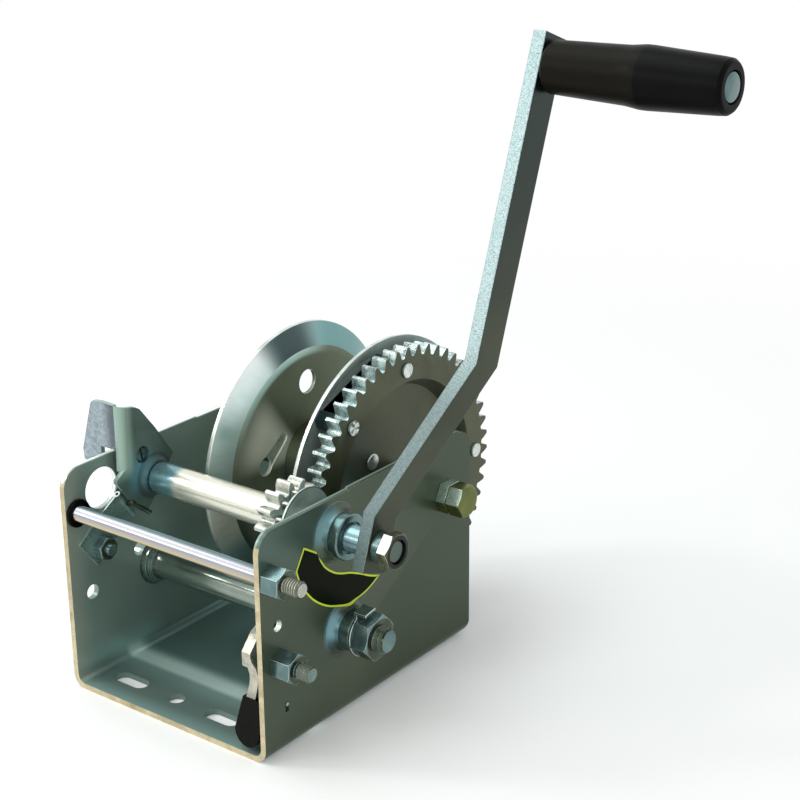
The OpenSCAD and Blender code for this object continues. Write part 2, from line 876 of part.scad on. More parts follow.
// Lever around the crank shaft with a thumb pad bent over the left plate.
module shift_lever() {
    turnX = leverFace - leverBend;
    turnIn = leverThick - leverBend;
    color([0.6, 0.66, 0.66])
        difference() {
            union() {
                intersection() {
                    translate([0, 0, 126])
                        linear_extrude(45)
                            leverSection();
                    union() {
                        translate([0, front, 0])
                            across(turnX, leverFace + 1)
                                polygon([[37, 166.6], [46, 164], [51.5, 162.6], [54.6, 160.6],
                                    [66.1, 145.8], [79.7, 125.5], [79, 125], [37, 125]]);
                        translate([leverX, front + 60, 0])
                            rotate([90, 0, 0])
                                linear_extrude(40)
                                    polygon([[turnIn, 166.6], [-12.4, 167], [-18.5, 166.2], [-20.4, 164],
                                        [-29.2, 134], [-28.4, 127.6], [-26.6, 127.4], [-13.8, 133],
                                        [-13.8, padLow], [turnIn, padLow]]);
                    }
                }
                translate([0, front, 0])
                    across(leverX, leverFace)
                        polygon([[44, 128], [38.4, 126.2], [33.4, 122.6], [33.2, 120.4], [46.8, 102],
                            [49.6, 98.4], [53.5, 96], [57.4, 97], [60.4, 100.4], [79.7, 125.5], [78, 128]]);
                turned(crankAt, concat([[0, leverX + 1], [collarRadius + 3.6, leverX + 1]],
                    flare(collarRadius, leverFace, 3.6), [[collarRadius, collarEnd], [0, collarEnd]]));
            }
            rodX(leverX - 1, collarEnd + 1, leverJournal + runGap, crankAt);
            rodX(leverX - 1, leverFace + 1, 5.2, [front + 54.8, 132.1]);
            rodX(leverX - 1, leverFace + 1, 1.6, [front + 44.6, 104.9]);
        }
}

frame();
tie_rod();
tie_rod_washer();
tie_rod_nut();
crank_bushing_right();
crank_bushing_left();
countershaft();
countershaft_bushing_left();
countershaft_spacer();
countershaft_bushing_right();
countershaft_tab_washer();
countershaft_nut();
drum_axle_bolt();
drum_axle_nut();
drum_axle_lock_nut();
pawl_bolt();
pawl_nut();
leaf_spring();
leaf_spring_bolt();
leaf_spring_nut();
crank_shaft();
high_pinion();
low_pinion();
pinion_disc();
crank_arm();
crank_spacer();
crank_nut();
grip_pin();
grip();
drum_hub();
flange_left();
flange_right();
ring_gear();
gear_rivets();
countershaft_pinion();
countershaft_gear();
pawl();
pawl_tip();
shift_lever();
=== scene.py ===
import json
import math
import bmesh
import bpy
from mathutils import Matrix, Vector


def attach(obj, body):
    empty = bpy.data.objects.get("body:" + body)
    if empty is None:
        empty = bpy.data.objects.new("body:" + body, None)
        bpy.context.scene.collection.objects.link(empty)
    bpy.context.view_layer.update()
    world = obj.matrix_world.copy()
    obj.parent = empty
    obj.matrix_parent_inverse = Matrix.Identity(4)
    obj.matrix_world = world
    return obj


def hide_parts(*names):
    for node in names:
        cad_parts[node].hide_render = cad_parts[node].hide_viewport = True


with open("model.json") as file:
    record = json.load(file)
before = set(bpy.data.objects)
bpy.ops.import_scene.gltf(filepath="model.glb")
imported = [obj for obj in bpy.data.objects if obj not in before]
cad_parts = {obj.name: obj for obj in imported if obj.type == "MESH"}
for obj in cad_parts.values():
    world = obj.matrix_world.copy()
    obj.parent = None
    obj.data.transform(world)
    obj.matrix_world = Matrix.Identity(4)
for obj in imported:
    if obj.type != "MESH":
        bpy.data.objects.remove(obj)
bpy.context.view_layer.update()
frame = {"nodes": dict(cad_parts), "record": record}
nodes = frame["nodes"]
bodyOf = {n: b for b, members in frame["record"]["behaviour"]["bodies"].items() for n in members}
mm = 0.001
print("frame loaded")

# axes that run along X, as (y, z) in metres
axis = {
    "crank": (-0.03255, 0.116),
    "drum": (0.0705304, 0.1022),
    "lay": (-0.0261276, 0.0558419),
    "pawl": (-0.0815, 0.0568),
    "tie": (-0.0875, 0.1093),
}
frontEdge = -0.096
plateFace = 0.075


def newGroup(name, inputs, outputs):
    group = bpy.data.node_groups.new(name, "ShaderNodeTree")
    for label, kind, value in inputs:
        socket = group.interface.new_socket(name=label, in_out="INPUT", socket_type=kind)
        socket.default_value = value
    for label, kind in outputs:
        group.interface.new_socket(name=label, in_out="OUTPUT", socket_type=kind)
    return group, group.nodes.new("NodeGroupInput"), group.nodes.new("NodeGroupOutput")


def addNode(tree, kind, **values):
    made = tree.nodes.new(kind)
    for key, value in values.items():
        setattr(made, key, value)
    return made


def mathNode(tree, operation, first, second):
    made = addNode(tree, "ShaderNodeMath", operation=operation)
    for i, value in enumerate((first, second)):
        if isinstance(value, (int, float)):
            made.inputs[i].default_value = value
        else:
            tree.links.new(value, made.inputs[i])
    return made.outputs[0]


def vectorNode(tree, operation, first, second=None):
    made = addNode(tree, "ShaderNodeVectorMath", operation=operation)
    for i, value in enumerate((first, second)):
        if isinstance(value, tuple):
            made.inputs[i].default_value = value
        elif value is not None:
            tree.links.new(value, made.inputs[i])
    return made.outputs["Value" if operation in ("LENGTH", "DOT_PRODUCT") else "Vector"]


def noiseNode(tree, vector, scale, detail):
    made = addNode(tree, "ShaderNodeTexNoise")
    made.inputs["Detail"].default_value = detail
    tree.links.new(vector, made.inputs["Vector"])
    if isinstance(scale, (int, float)):
        made.inputs["Scale"].default_value = scale
    else:
        tree.links.new(scale, made.inputs["Scale"])
    return made


def mixNode(tree, factor, first, second):
    made = addNode(tree, "ShaderNodeMix", data_type="RGBA")
    tree.links.new(factor, made.inputs["Factor"])
    for label, value in (("A", first), ("B", second)):
        if isinstance(value, tuple):
            made.inputs[label].default_value = value
        else:
            tree.links.new(value, made.inputs[label])
    return made.outputs["Result"]


def objectPlace(tree):
    return addNode(tree, "ShaderNodeTexCoord").outputs["Object"]


# the usual screen curve: straight for the darkest tones, a power above them
screenCurve = {"offset": 0.055, "power": 2.4, "darkest": 10, "darkDivisor": 3294}


# a written screen colour, 0 to 255, as the shader wants it
def shade(*screen):
    offset = screenCurve["offset"]
    return tuple(((c / 255 + offset) / (1 + offset)) ** screenCurve["power"] if c > screenCurve["darkest"]
                 else c / screenCurve["darkDivisor"] for c in screen) + (1.0,)


# noise runs from 0 to 1 around its middle
noiseMiddle = 0.5
platedNoise = {"cloudDetail": 5, "cloudWarp": 0.6, "cloudLow": 0.32, "cloudHigh": 0.68, "grainDetail": 3,
               "speckRough": 0.3}
mouldedNoise = {"cloudScale": 60, "cloudDetail": 6, "grainDetail": 2, "roughSpread": 0.25}


# plated steel: two tones in clouds, fine grain, streaks along one direction
def makePlatedGroup():
    group, given, out = newGroup("platedSteel", [
        ("Light Tone", "NodeSocketColor", (0.5, 0.5, 0.5, 1)),
        ("Dark Tone", "NodeSocketColor", (0.3, 0.3, 0.3, 1)),
        ("Cloud Scale", "NodeSocketFloat", 25),
        ("Grain Scale", "NodeSocketFloat", 900),
        ("Grain", "NodeSocketFloat", 0.3),
        ("Streak", "NodeSocketVector", (1, 1, 1)),
        ("Roughness", "NodeSocketFloat", 0.35),
        ("Roughness Spread", "NodeSocketFloat", 0.12),
    ], [("Color", "NodeSocketColor"), ("Roughness", "NodeSocketFloat"), ("Height", "NodeSocketFloat")])
    place = objectPlace(group)
    cloud = noiseNode(group, place, given.outputs["Cloud Scale"], platedNoise["cloudDetail"])
    cloud.inputs["Distortion"].default_value = platedNoise["cloudWarp"]
    stretch = addNode(group, "ShaderNodeMapping")
    group.links.new(place, stretch.inputs["Vector"])
    group.links.new(given.outputs["Streak"], stretch.inputs["Scale"])
    grain = noiseNode(group, stretch.outputs["Vector"], given.outputs["Grain Scale"],
                      platedNoise["grainDetail"])
    cloudCurve = addNode(group, "ShaderNodeMapRange")
    cloudCurve.inputs["From Min"].default_value = platedNoise["cloudLow"]
    cloudCurve.inputs["From Max"].default_value = platedNoise["cloudHigh"]
    group.links.new(cloud.outputs["Fac"], cloudCurve.inputs["Value"])
    speck = mathNode(group, "MULTIPLY", mathNode(group, "SUBTRACT", grain.outputs["Fac"], noiseMiddle),
                     given.outputs["Grain"])
    share = mathNode(group, "ADD", cloudCurve.outputs["Result"], speck)
    tone = mixNode(group, share, given.outputs["Dark Tone"], given.outputs["Light Tone"])
    group.links.new(tone, out.inputs["Color"])
    clouded = mathNode(group, "SUBTRACT", cloudCurve.outputs["Result"], noiseMiddle)
    spread = mathNode(group, "MULTIPLY", clouded, given.outputs["Roughness Spread"])
    rough = mathNode(group, "ADD", given.outputs["Roughness"], spread)
    speckled = mathNode(group, "MULTIPLY", speck, platedNoise["speckRough"])
    group.links.new(mathNode(group, "ADD", rough, speckled), out.inputs["Roughness"])
    group.links.new(grain.outputs["Fac"], out.inputs["Height"])
    return group


# moulded plastic or rubber: faint mottling and a fine grain
def makeMouldedGroup():
    group, given, out = newGroup("mouldedBlack", [
        ("Tone", "NodeSocketColor", (0.01, 0.01, 0.01, 1)),
        ("Rubbed Tone", "NodeSocketColor", (0.03, 0.03, 0.03, 1)),
        ("Grain Scale", "NodeSocketFloat", 1500),
        ("Roughness", "NodeSocketFloat", 0.4),
    ], [("Color", "NodeSocketColor"), ("Roughness", "NodeSocketFloat"), ("Height", "NodeSocketFloat")])
    place = objectPlace(group)
    cloud = noiseNode(group, place, mouldedNoise["cloudScale"], mouldedNoise["cloudDetail"])
    grain = noiseNode(group, place, given.outputs["Grain Scale"], mouldedNoise["grainDetail"])
    tone = mixNode(group, cloud.outputs["Fac"], given.outputs["Tone"], given.outputs["Rubbed Tone"])
    group.links.new(tone, out.inputs["Color"])
    clouded = mathNode(group, "SUBTRACT", cloud.outputs["Fac"], noiseMiddle)
    spread = mathNode(group, "MULTIPLY", clouded, mouldedNoise["roughSpread"])
    group.links.new(mathNode(group, "ADD", given.outputs["Roughness"], spread), out.inputs["Roughness"])
    group.links.new(grain.outputs["Fac"], out.inputs["Height"])
    return group


# where a point lies across the line along X that goes through the group's Centre
def acrossLine(group, given):
    away = vectorNode(group, "SUBTRACT", objectPlace(group), given.outputs["Centre"])
    return vectorNode(group, "MULTIPLY", away, (0, 1, 1))


# the group's mask: soft step of a value from its Start to its Full, or to a set value
def softStep(group, given, out, value, full=None):
    curve = addNode(group, "ShaderNodeMapRange", interpolation_type="SMOOTHSTEP")
    group.links.new(value, curve.inputs["Value"])
    group.links.new(given.outputs["Start"], curve.inputs["From Min"])
    if full is None:
        group.links.new(given.outputs["Full"], curve.inputs["From Max"])
    else:
        curve.inputs["From Max"].default_value = full
    group.links.new(curve.outputs["Result"], out.inputs["Mask"])


# soft mask by distance from a line that runs along X
def makeRoundMask():
    group, given, out = newGroup("aroundAxis", [
        ("Centre", "NodeSocketVector", (0, 0, 0)),
        ("Start", "NodeSocketFloat", 0.02),
        ("Full", "NodeSocketFloat", 0.01),
    ], [("Mask", "NodeSocketFloat")])
    softStep(group, given, out, vectorNode(group, "LENGTH", acrossLine(group, given)))
    return group


# soft mask by distance along a direction
def makeLineMask():
    group, given, out = newGroup("alongLine", [
        ("Direction", "NodeSocketVector", (1, 0, 0)),
        ("Start", "NodeSocketFloat", 0.0),
        ("Full", "NodeSocketFloat", 0.01),
    ], [("Mask", "NodeSocketFloat")])
    reach = vectorNode(group, "DOT_PRODUCT", objectPlace(group), given.outputs["Direction"])
    softStep(group, given, out, reach)
    return group


# soft mask by direction seen from a line that runs along X, as a fan of light on a turned face
def makeFanMask():
    group, given, out = newGroup("fanMask", [
        ("Centre", "NodeSocketVector", (0, 0, 0)),
        ("Direction", "NodeSocketVector", (0, 0, 1)),
        ("Start", "NodeSocketFloat", 0.9),
    ], [("Mask", "NodeSocketFloat")])
    unit = vectorNode(group, "NORMALIZE", acrossLine(group, given))
    match = vectorNode(group, "DOT_PRODUCT", unit, given.outputs["Direction"])
    softStep(group, given, out, match, 1.0)
    return group


plated = makePlatedGroup()
moulded = makeMouldedGroup()
roundMask = makeRoundMask()
lineMask = makeLineMask()
fanMask = makeFanMask()


def around(axisName, start, full):
    return roundMask, {"Centre": (0, *axis[axisName]), "Start": start, "Full": full}


def along(direction, start, full):
    return lineMask, {"Direction": direction, "Start": start, "Full": full}


# angle in degrees from +Y toward +Z, halfWidth on either side of it
def fan(axisName, angle, halfWidth):
    a = math.radians(angle)
    return fanMask, {"Centre": (0, *axis[axisName]), "Direction": (0, math.cos(a), math.sin(a)),
                     "Start": math.cos(math.radians(halfWidth))}


# a touch is a tone laid over the group's colour: screen colour, strength, masks that narrow it
def groupMaterial(name, group, values, metallic, bumpHeight, specular, touches):
    material = bpy.data.materials.new(name)
    material.use_nodes = True
    tree = material.node_tree
    shader = tree.nodes["Principled BSDF"]
    used = addNode(tree, "ShaderNodeGroup", node_tree=group)
    for label, value in values.items():
        used.inputs[label].default_value = value
    colour = used.outputs["Color"]
    for tone, strength, masks in touches:
        share = strength
        for maskGroup, maskValues in masks:
            mask = addNode(tree, "ShaderNodeGroup", node_tree=maskGroup)
            for label, value in maskValues.items():
                mask.inputs[label].default_value = value
            share = mathNode(tree, "MULTIPLY", mask.outputs["Mask"], share)
        colour = mixNode(tree, share, colour, shade(*tone))
    tree.links.new(colour, shader.inputs["Base Color"])
    tree.links.new(used.outputs["Roughness"], shader.inputs["Roughness"])
    bump = addNode(tree, "ShaderNodeBump")
    bump.inputs["Distance"].default_value = bumpHeight
    bump.inputs["Strength"].default_value = 1.0
    tree.links.new(used.outputs["Height"], bump.inputs["Height"])
    tree.links.new(bump.outputs["Normal"], shader.inputs["Normal"])
    shader.inputs["Metallic"].default_value = metallic
    shader.inputs["Specular IOR Level"].default_value = specular
    return material


inside = along((-1, 0, 0), -0.0735, -0.0725)
base = along((0, 0, -1), -0.013, -0.003)
outside = along((1, 0, 0), 0.072, 0.0745)
frameTouches = [
    # painted shade: the frame darker toward the rear
    ((54, 68, 48), 0.8, [along((0, 1, 0), -0.06, 0.03)]),
    # painted light: the faces inside the right plate lighter, against the shade between the plates
    ((138, 160, 152), 0.95, [inside]),
    # painted highlight: the inside faces lighter low down and toward the front
    ((156, 196, 192), 0.8, [along((0, 0, -1), -0.026, -0.008),
                                 along((0, -1, 0), 0.020, 0.040), inside]),
    # painted reflection: the upward base in a lighter teal tone
    ((150, 182, 178), 0.9, [base, inside]),
    # painted reflection: a darker band across the front of the base
    ((106, 124, 118), 0.85, [base, along((0, 1, 0), -0.098, -0.082),
                                  along((0, -1, 0), 0.050, 0.074), inside]),
    # painted shade: the base darker toward the rear
    ((92, 120, 116), 0.8, [base, along((0, 1, 0), -0.044, -0.036), inside]),
    # painted highlight: a bright band across the base
    ((230, 255, 250), 0.85, [base, along((0, -1, 0), 0.040, 0.048),
                                  along((0, 1, 0), -0.058, -0.053), inside]),
    # painted highlight: the left plate lighter near its front edge
    ((170, 180, 166), 0.8, [along((-1, 0, 0), 0.066, 0.070), along((0, -1, 0), 0.078, 0.096)]),
    # painted highlight: the left plate's top edge in white
    ((255, 255, 255), 1.0, [along((-1, 0, 0), 0.0725, 0.0728), along((1, 0, 0), -0.07495, -0.0747),
                                 along((0, 0, 1), 0.10, 0.115)]),
    ((100, 116, 102), 0.9, [along((-1, 0, 0), 0.0746, 0.0749)]),
    # painted shade: the outside of the right plate darker toward its lower front
    ((64, 76, 60), 0.6, [outside, along((0, -1, 0), 0.0, 0.060), along((0, 0, -1), -0.115, -0.080)]),
    # painted reflection: a teal sheen on the upper front of the right plate's outside
    ((82, 108, 102), 0.7, [outside, along((0, 0, 1), 0.095, 0.125), along((0, -1, 0), 0.01, 0.07)]),
    # painted highlights on the drawn bosses of the right plate toward the front and top, and painted shade
    # low on the lay boss
    ((112, 152, 158), 0.9, [around("crank", 0.0205, 0.0165), outside, fan("crank", 140, 60)]),
    ((122, 166, 178), 0.9, [around("lay", 0.0200, 0.0155), outside, fan("lay", 165, 60)]),
    ((40, 54, 50), 0.8, [around("lay", 0.0200, 0.0155), outside, fan("lay", 225, 50)]),
]
flangeTouches = [
    # painted highlight: a bright fan on the flange's disc
    ((255, 255, 244), 0.95, [fan("drum", 151, 27), around("drum", 0.076, 0.050)]),
    # painted highlight: a bright band along the fold
    ((206, 236, 232), 0.9, [fan("drum", 115, 45), around("drum", 0.0655, 0.0685)]),
    # painted shade: a dark fan near the fold toward the front and bottom
    ((56, 70, 64), 0.6, [fan("drum", 215, 40), around("drum", 0.0600, 0.0680)]),
]
# painted reflections on the cone of the left flange: teal, bright and dark fans by their direction round the
# drum
coneTouches = [
    ((108, 156, 156), 0.9, [fan("drum", 60, 34)]),
    ((250, 255, 255), 0.95, [fan("drum", 129, 24)]),
    ((34, 52, 58), 0.9, [fan("drum", 98, 21)]),
    ((255, 255, 240), 0.95, [fan("drum", 194, 20)]),
    ((100, 134, 128), 0.8, [fan("drum", 243, 36)]),
]
gearTouches = [
    # painted sheen: the gear's web lighter and bluer toward the front and bottom
    ((120, 142, 136), 0.7, [around("drum", 0.0640, 0.0600), along((0, -1, -0.4), -0.110, -0.060)]),
]
leverTouches = [
    # painted shade: the lever darker toward the rear and top
    ((44, 58, 54), 0.6, [along((0, 1, 0.3), 0.004, 0.024)]),
    # painted highlight: a light band along the fold of the pad
    ((176, 204, 190), 0.75, [along((0, -1, 0), 0.0465, 0.0520), along((0, 0, 1), 0.118, 0.128)]),
    # painted highlight: a teal glow round the collar toward the front
    ((104, 164, 178), 0.75, [around("crank", 0.0240, 0.0150), fan("crank", 150, 70)]),
    # painted shade: a dark ring where the sleeve meets the lever
    ((40, 60, 62), 0.6, [around("crank", 0.0150, 0.0130)]),
]
gripTouches = [((25, 22, 16), 0.75, [along((-1, 0, 0), -0.2068, -0.2064)])]
shaftTouches = [
    # painted reflections: the crank sleeve teal toward its left end and near the right plate
    ((112, 162, 174), 0.9, [along((-1, 0, 0), 0.037, 0.043)]),
    ((108, 156, 168), 0.85, [along((1, 0, 0), 0.060, 0.080)]),
    ((84, 96, 88), 0.95, [along((1, 0, 0), 0.111, 0.112)]),
]
rodTouches = [
    # painted highlights and reflections in bands round the tie rod: teal, white, grey-violet and beige
    ((104, 138, 142), 0.85, [fan("tie", 84, 30)]),
    ((224, 224, 234), 0.85, [fan("tie", 138, 24)]),
    ((184, 176, 188), 0.8, [fan("tie", 176, 11)]),
    ((212, 192, 150), 0.9, [fan("tie", 203, 23)]),
]
# painted shade: the broad faces of the arm darker and bluer toward the top
handleTouches = [((40, 54, 51), 0.9, [along((0, 0, 1), 0.20, 0.33)])]
finishes = {
    "plateZinc": dict(light=(88, 100, 80), dark=(74, 86, 67), cloud=16, grain=0.3, metallic=0.45,
                      rough=0.34, spread=0.10, touches=frameTouches),
    # sawn edges: a beige tone that is partly painted warm light
    "sawnEdgeWarmLight": dict(light=(218, 206, 172), dark=(170, 156, 122), cloud=90, grain=0.9,
                    rough=0.5, spread=0.1, metallic=0.3, bump=0.00006),
    # bright edges: partly wear, partly a painted highlight on edges, rims, recesses and a few faces
    "edgeWearAndHighlight": dict(light=(236, 242, 236), dark=(196, 206, 200), cloud=80, grain=0.3,
                     rough=0.3, spread=0.1, metallic=0.75, bump=0.00003),
    "flangeZinc": dict(light=(124, 134, 112), dark=(104, 114, 96), cloud=20, grain=0.4, metallic=0.65,
                       streak=(1, 1, 5), rough=0.48, touches=flangeTouches),
    # painted sheen: the cone of the left flange lighter than its disc
    "litConeZinc": dict(light=(196, 220, 218), dark=(172, 196, 196), cloud=20, grain=0.4, metallic=0.85,
                     streak=(1, 1, 5), rough=0.4, spread=0.1, touches=coneTouches),
    # painted light: a near-white tone for the +X faces of the right flange, lighting the shaded pocket behind
    # the teeth
    "litPocketZinc": dict(light=(236, 252, 248), dark=(204, 226, 222), cloud=40, grain=0.4,
                       metallic=0.15, rough=0.4),
    "gearZinc": dict(light=(86, 90, 68), dark=(68, 74, 54), cloud=40, grain=0.4, metallic=0.55,
                     rough=0.38, spread=0.14, bump=0.00004, touches=gearTouches),
    # painted highlight: a lighter tone for the gear teeth and the spring's end
    "highlitToothZinc": dict(light=(206, 220, 218), dark=(112, 134, 132), cloud=220, grain=0.9, metallic=0.75,
                      rough=0.26, spread=0.18, bump=0.00008),
    # painted light: a lighter tone for the pinions' right faces and the pinion disc
    "litPinionFace": dict(light=(196, 212, 206), dark=(164, 182, 176), cloud=60, grain=0.4, metallic=0.5,
                       rough=0.35, spread=0.1, bump=0.00004),
    "pinionZinc": dict(light=(210, 210, 198), dark=(152, 158, 148), cloud=120, grain=0.6, metallic=0.8,
                       rough=0.3, bump=0.00006),
    "rodZinc": dict(light=(176, 180, 184), dark=(156, 162, 166), cloud=12, grain=0.15,
                    streak=(0.15, 4, 4), rough=0.24, spread=0.04, bump=0.000002, touches=rodTouches),
    "sleeveZinc": dict(light=(244, 242, 226), dark=(226, 226, 212), cloud=12, grain=0.3, metallic=0.8,
                       streak=(0.2, 4, 4), rough=0.27, spread=0.05, bump=0.000006, touches=shaftTouches),
    "axleZinc": dict(light=(160, 170, 160), dark=(124, 138, 130), cloud=14, grain=0.2, metallic=0.85,
                     streak=(0.15, 4, 4), rough=0.2, spread=0.06, bump=0.000004),
    "hardwareZinc": dict(light=(122, 148, 148), dark=(88, 112, 112), cloud=60, grain=0.2, metallic=0.8,
                         rough=0.24),
    "shadedZinc": dict(light=(88, 98, 80), dark=(60, 70, 56), cloud=60, grain=0.4, metallic=0.8, rough=0.26),
    "yellowZinc": dict(light=(116, 122, 62), dark=(92, 98, 48), cloud=60, grain=0.4, metallic=0.8,
                       rough=0.26),
    "goldenZinc": dict(light=(150, 148, 122), dark=(112, 112, 86), cloud=60, grain=0.3, metallic=0.8,
                       rough=0.26),
    # painted highlight on the upper and front flats of the drum axle nuts
    "highlitYellowZinc": dict(light=(210, 232, 222), dark=(176, 200, 186), cloud=60, grain=0.3, metallic=0.8,
                     rough=0.24),
    "handleZinc": dict(light=(74, 78, 62), dark=(56, 62, 48), cloud=24, grain=0.5, metallic=0.8,
                       rough=0.34, bump=0.00003, touches=handleTouches),
    "blastedZinc": dict(light=(188, 210, 213), dark=(104, 126, 130), cloud=2000, grain=0.9, metallic=0.7,
                        rough=0.40, spread=0.2, bump=0.00012,
                        touches=[((88, 104, 104), 0.62, [along((0, 0, -1), -0.24, -0.19)])]),
    # the pad's touch is painted shade, darker toward its fold
    "padZinc": dict(light=(170, 182, 188), dark=(128, 142, 150), cloud=340, grain=0.8,
                    rough=0.25, spread=0.2, bump=0.00012,
                    touches=[((84, 92, 100), 0.85, [along((1, 0, 0), -0.0775, -0.0690)])]),
    "leverZinc": dict(light=(110, 132, 126), dark=(92, 114, 108), cloud=40, grain=0.2, metallic=0.45,
                      rough=0.42, spread=0.04, bump=0.000004, touches=leverTouches),
    "springZinc": dict(light=(128, 156, 150), dark=(96, 124, 116), cloud=60, grain=0.3, metallic=0.5,
                       rough=0.26, spread=0.1),
    "pawlZinc": dict(light=(208, 202, 188), dark=(132, 136, 124), cloud=110, grain=0.7, metallic=0.8,
                     rough=0.3, spread=0.14, bump=0.00005),
    # painted shade in thread grooves
    "grooveShadeZinc": dict(light=(118, 120, 106), dark=(92, 96, 84), cloud=60, grain=0.3, metallic=0.8,
                       rough=0.35, spread=0.1),
    # painted shade in slots, bores and a dark edge line
    "shadeSteel": dict(light=(58, 62, 56), dark=(34, 38, 34), cloud=40, grain=0.4, rough=0.45, spread=0.1),
}
usualFinish = dict(metallic=0.92, streak=(1, 1, 1), spread=0.12, bump=0.00002, gloss=0.5, touches=())
materials = {}
for name, own in finishes.items():
    f = {**usualFinish, **own}
    materials[name] = groupMaterial(name, plated, {
        "Light Tone": shade(*f["light"]), "Dark Tone": shade(*f["dark"]), "Cloud Scale": f["cloud"],
        "Grain": f["grain"], "Streak": f["streak"], "Roughness": f["rough"], "Roughness Spread": f["spread"],
    }, f["metallic"], f["bump"], f["gloss"], f["touches"])
blackFinishes = {
    "gripPlastic": dict(tone=(2, 3, 3), rubbed=(12, 13, 12), grain=1400, rough=0.38, gloss=0.06,
                        bump=0.00003, touches=gripTouches),
    "tipRubber": dict(tone=(4, 4, 4), rubbed=(16, 14, 11), grain=1900, rough=0.30, gloss=0.07,
                      bump=0.00004),
    "decalBlack": dict(tone=(4, 10, 0), rubbed=(12, 20, 2), grain=600, rough=0.4, gloss=0.05,
                       bump=0.000005),
    "decalBorder": dict(tone=(206, 230, 40), rubbed=(220, 240, 80), grain=600, rough=0.4, gloss=0.2,
                        bump=0.000005),
}
for name, f in blackFinishes.items():
    materials[name] = groupMaterial(name, moulded, {
        "Tone": shade(*f["tone"]), "Rubbed Tone": shade(*f["rubbed"]), "Grain Scale": f["grain"],
        "Roughness": f["rough"],
    }, 0.0, f["bump"], f["gloss"], f.get("touches", ()))
print("materials made")


cleaning = {"merge": 0.000002, "flatAngle": 0.3}


# a CAD node's mesh with its flat faces made whole
def nodeMesh(nodeName):
    work = bmesh.new()
    work.from_mesh(nodes[nodeName].data)
    bmesh.ops.remove_doubles(work, verts=work.verts, dist=cleaning["merge"])
    bmesh.ops.dissolve_limit(work, angle_limit=math.radians(cleaning["flatAngle"]),
                             verts=work.verts, edges=work.edges)
    return work


# distance of a point from a line along X
def fromAxis(point, axisName):
    return math.hypot(point.y - axis[axisName][0], point.z - axis[axisName][1])


def fromDrum(face):
    return fromAxis(face.calc_center_median(), "drum")


def bevelEdges(work, edges, width, segments):
    made = bmesh.ops.bevel(work, geom=edges, offset=width, offset_type="OFFSET", affect="EDGES",
                           segments=segments, profile=0.5, material=-1, clamp_overlap=True)
    return made["faces"]


def bevelSharp(work, width, segments, angle=32):
    sharp = [e for e in work.edges if len(e.link_faces) == 2 and e.calc_face_angle(0) > math.radians(angle)]
    return bevelEdges(work, sharp, width, segments)


# folds of the dished sheets: inner and outer radius between which each lies, and its softening
folds = {"flange_left": (0.066, 0.073, 0.0022), "ring_gear": (0.044, 0.066, 0.002)}
foldLook = {"angle": 12, "level": 0.0001, "segments": 4}


# rounds the fold of a dished sheet that lies between two radii of the drum
def softenFold(work, low, high, width):
    fold = [e for e in work.edges
            if len(e.link_faces) == 2 and e.calc_face_angle(0) > math.radians(foldLook["angle"])
            and all(low < fromAxis(v.co, "drum") < high for v in e.verts)
            and abs(e.verts[0].co.x - e.verts[1].co.x) < foldLook["level"]]
    bevelEdges(work, fold, width, foldLook["segments"])


def addObject(name, data):
    made = bpy.data.objects.new(name, data)
    bpy.context.scene.collection.objects.link(made)
    return made


def finishPiece(work, name, materialNames, body, replaced=(), smoothAngle=20):
    mesh = bpy.data.meshes.new(name)
    work.to_mesh(mesh)
    work.free()
    for m in materialNames:
        mesh.materials.append(materials[m])
    mesh.shade_smooth()
    mesh.set_sharp_from_angle(angle=math.radians(smoothAngle))
    piece = addObject(name, mesh)
    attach(piece, body)
    if replaced:
        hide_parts(*replaced)


# softened edges have this many faces across, where a piece has no number of its own
edgeSteps = 2


# a CAD node with softened edges; the last material goes on those edges where edge is true
def dress(nodeName, materialNames, width, paint, edge, smoothAngle):
    work = nodeMesh(nodeName)
    if nodeName in folds:
        softenFold(work, *folds[nodeName])
    rims = bevelSharp(work, width, edgeSteps)
    if paint:
        for face in work.faces:
            face.material_index = paint(face)
    if edge:
        for face in rims:
            face.material_index = len(materialNames) - 1
    finishPiece(work, nodeName + "Piece", materialNames, bodyOf[nodeName],
                (nodeName,), smoothAngle)


# cuts off what lies beyond x, on the right or with side -1 on the left, and closes the cut
def cutEnd(work, x, side=1):
    cut = bmesh.ops.bisect_plane(work, geom=work.verts[:] + work.edges[:] + work.faces[:],
                                 plane_co=(x, 0, 0), plane_no=(side, 0, 0), clear_outer=True)
    rim = [e for e in cut["geom_cut"] if isinstance(e, bmesh.types.BMEdge)]
    bmesh.ops.contextual_create(work, geom=rim)


# one turn of a thread as shares of its pitch and depth; the chamfer's depth and slope at the right end
threadForm = {"profile": ((0.0, 0.0), (0.1, 0.0), (0.45, 1.0), (0.55, 1.0), (0.9, 0.0), (1.0, 0.0)),
              "depth": 0.5, "stepsPerTurn": 28, "merge": 0.00001, "endDepth": 1.1, "endSlope": 0.8}


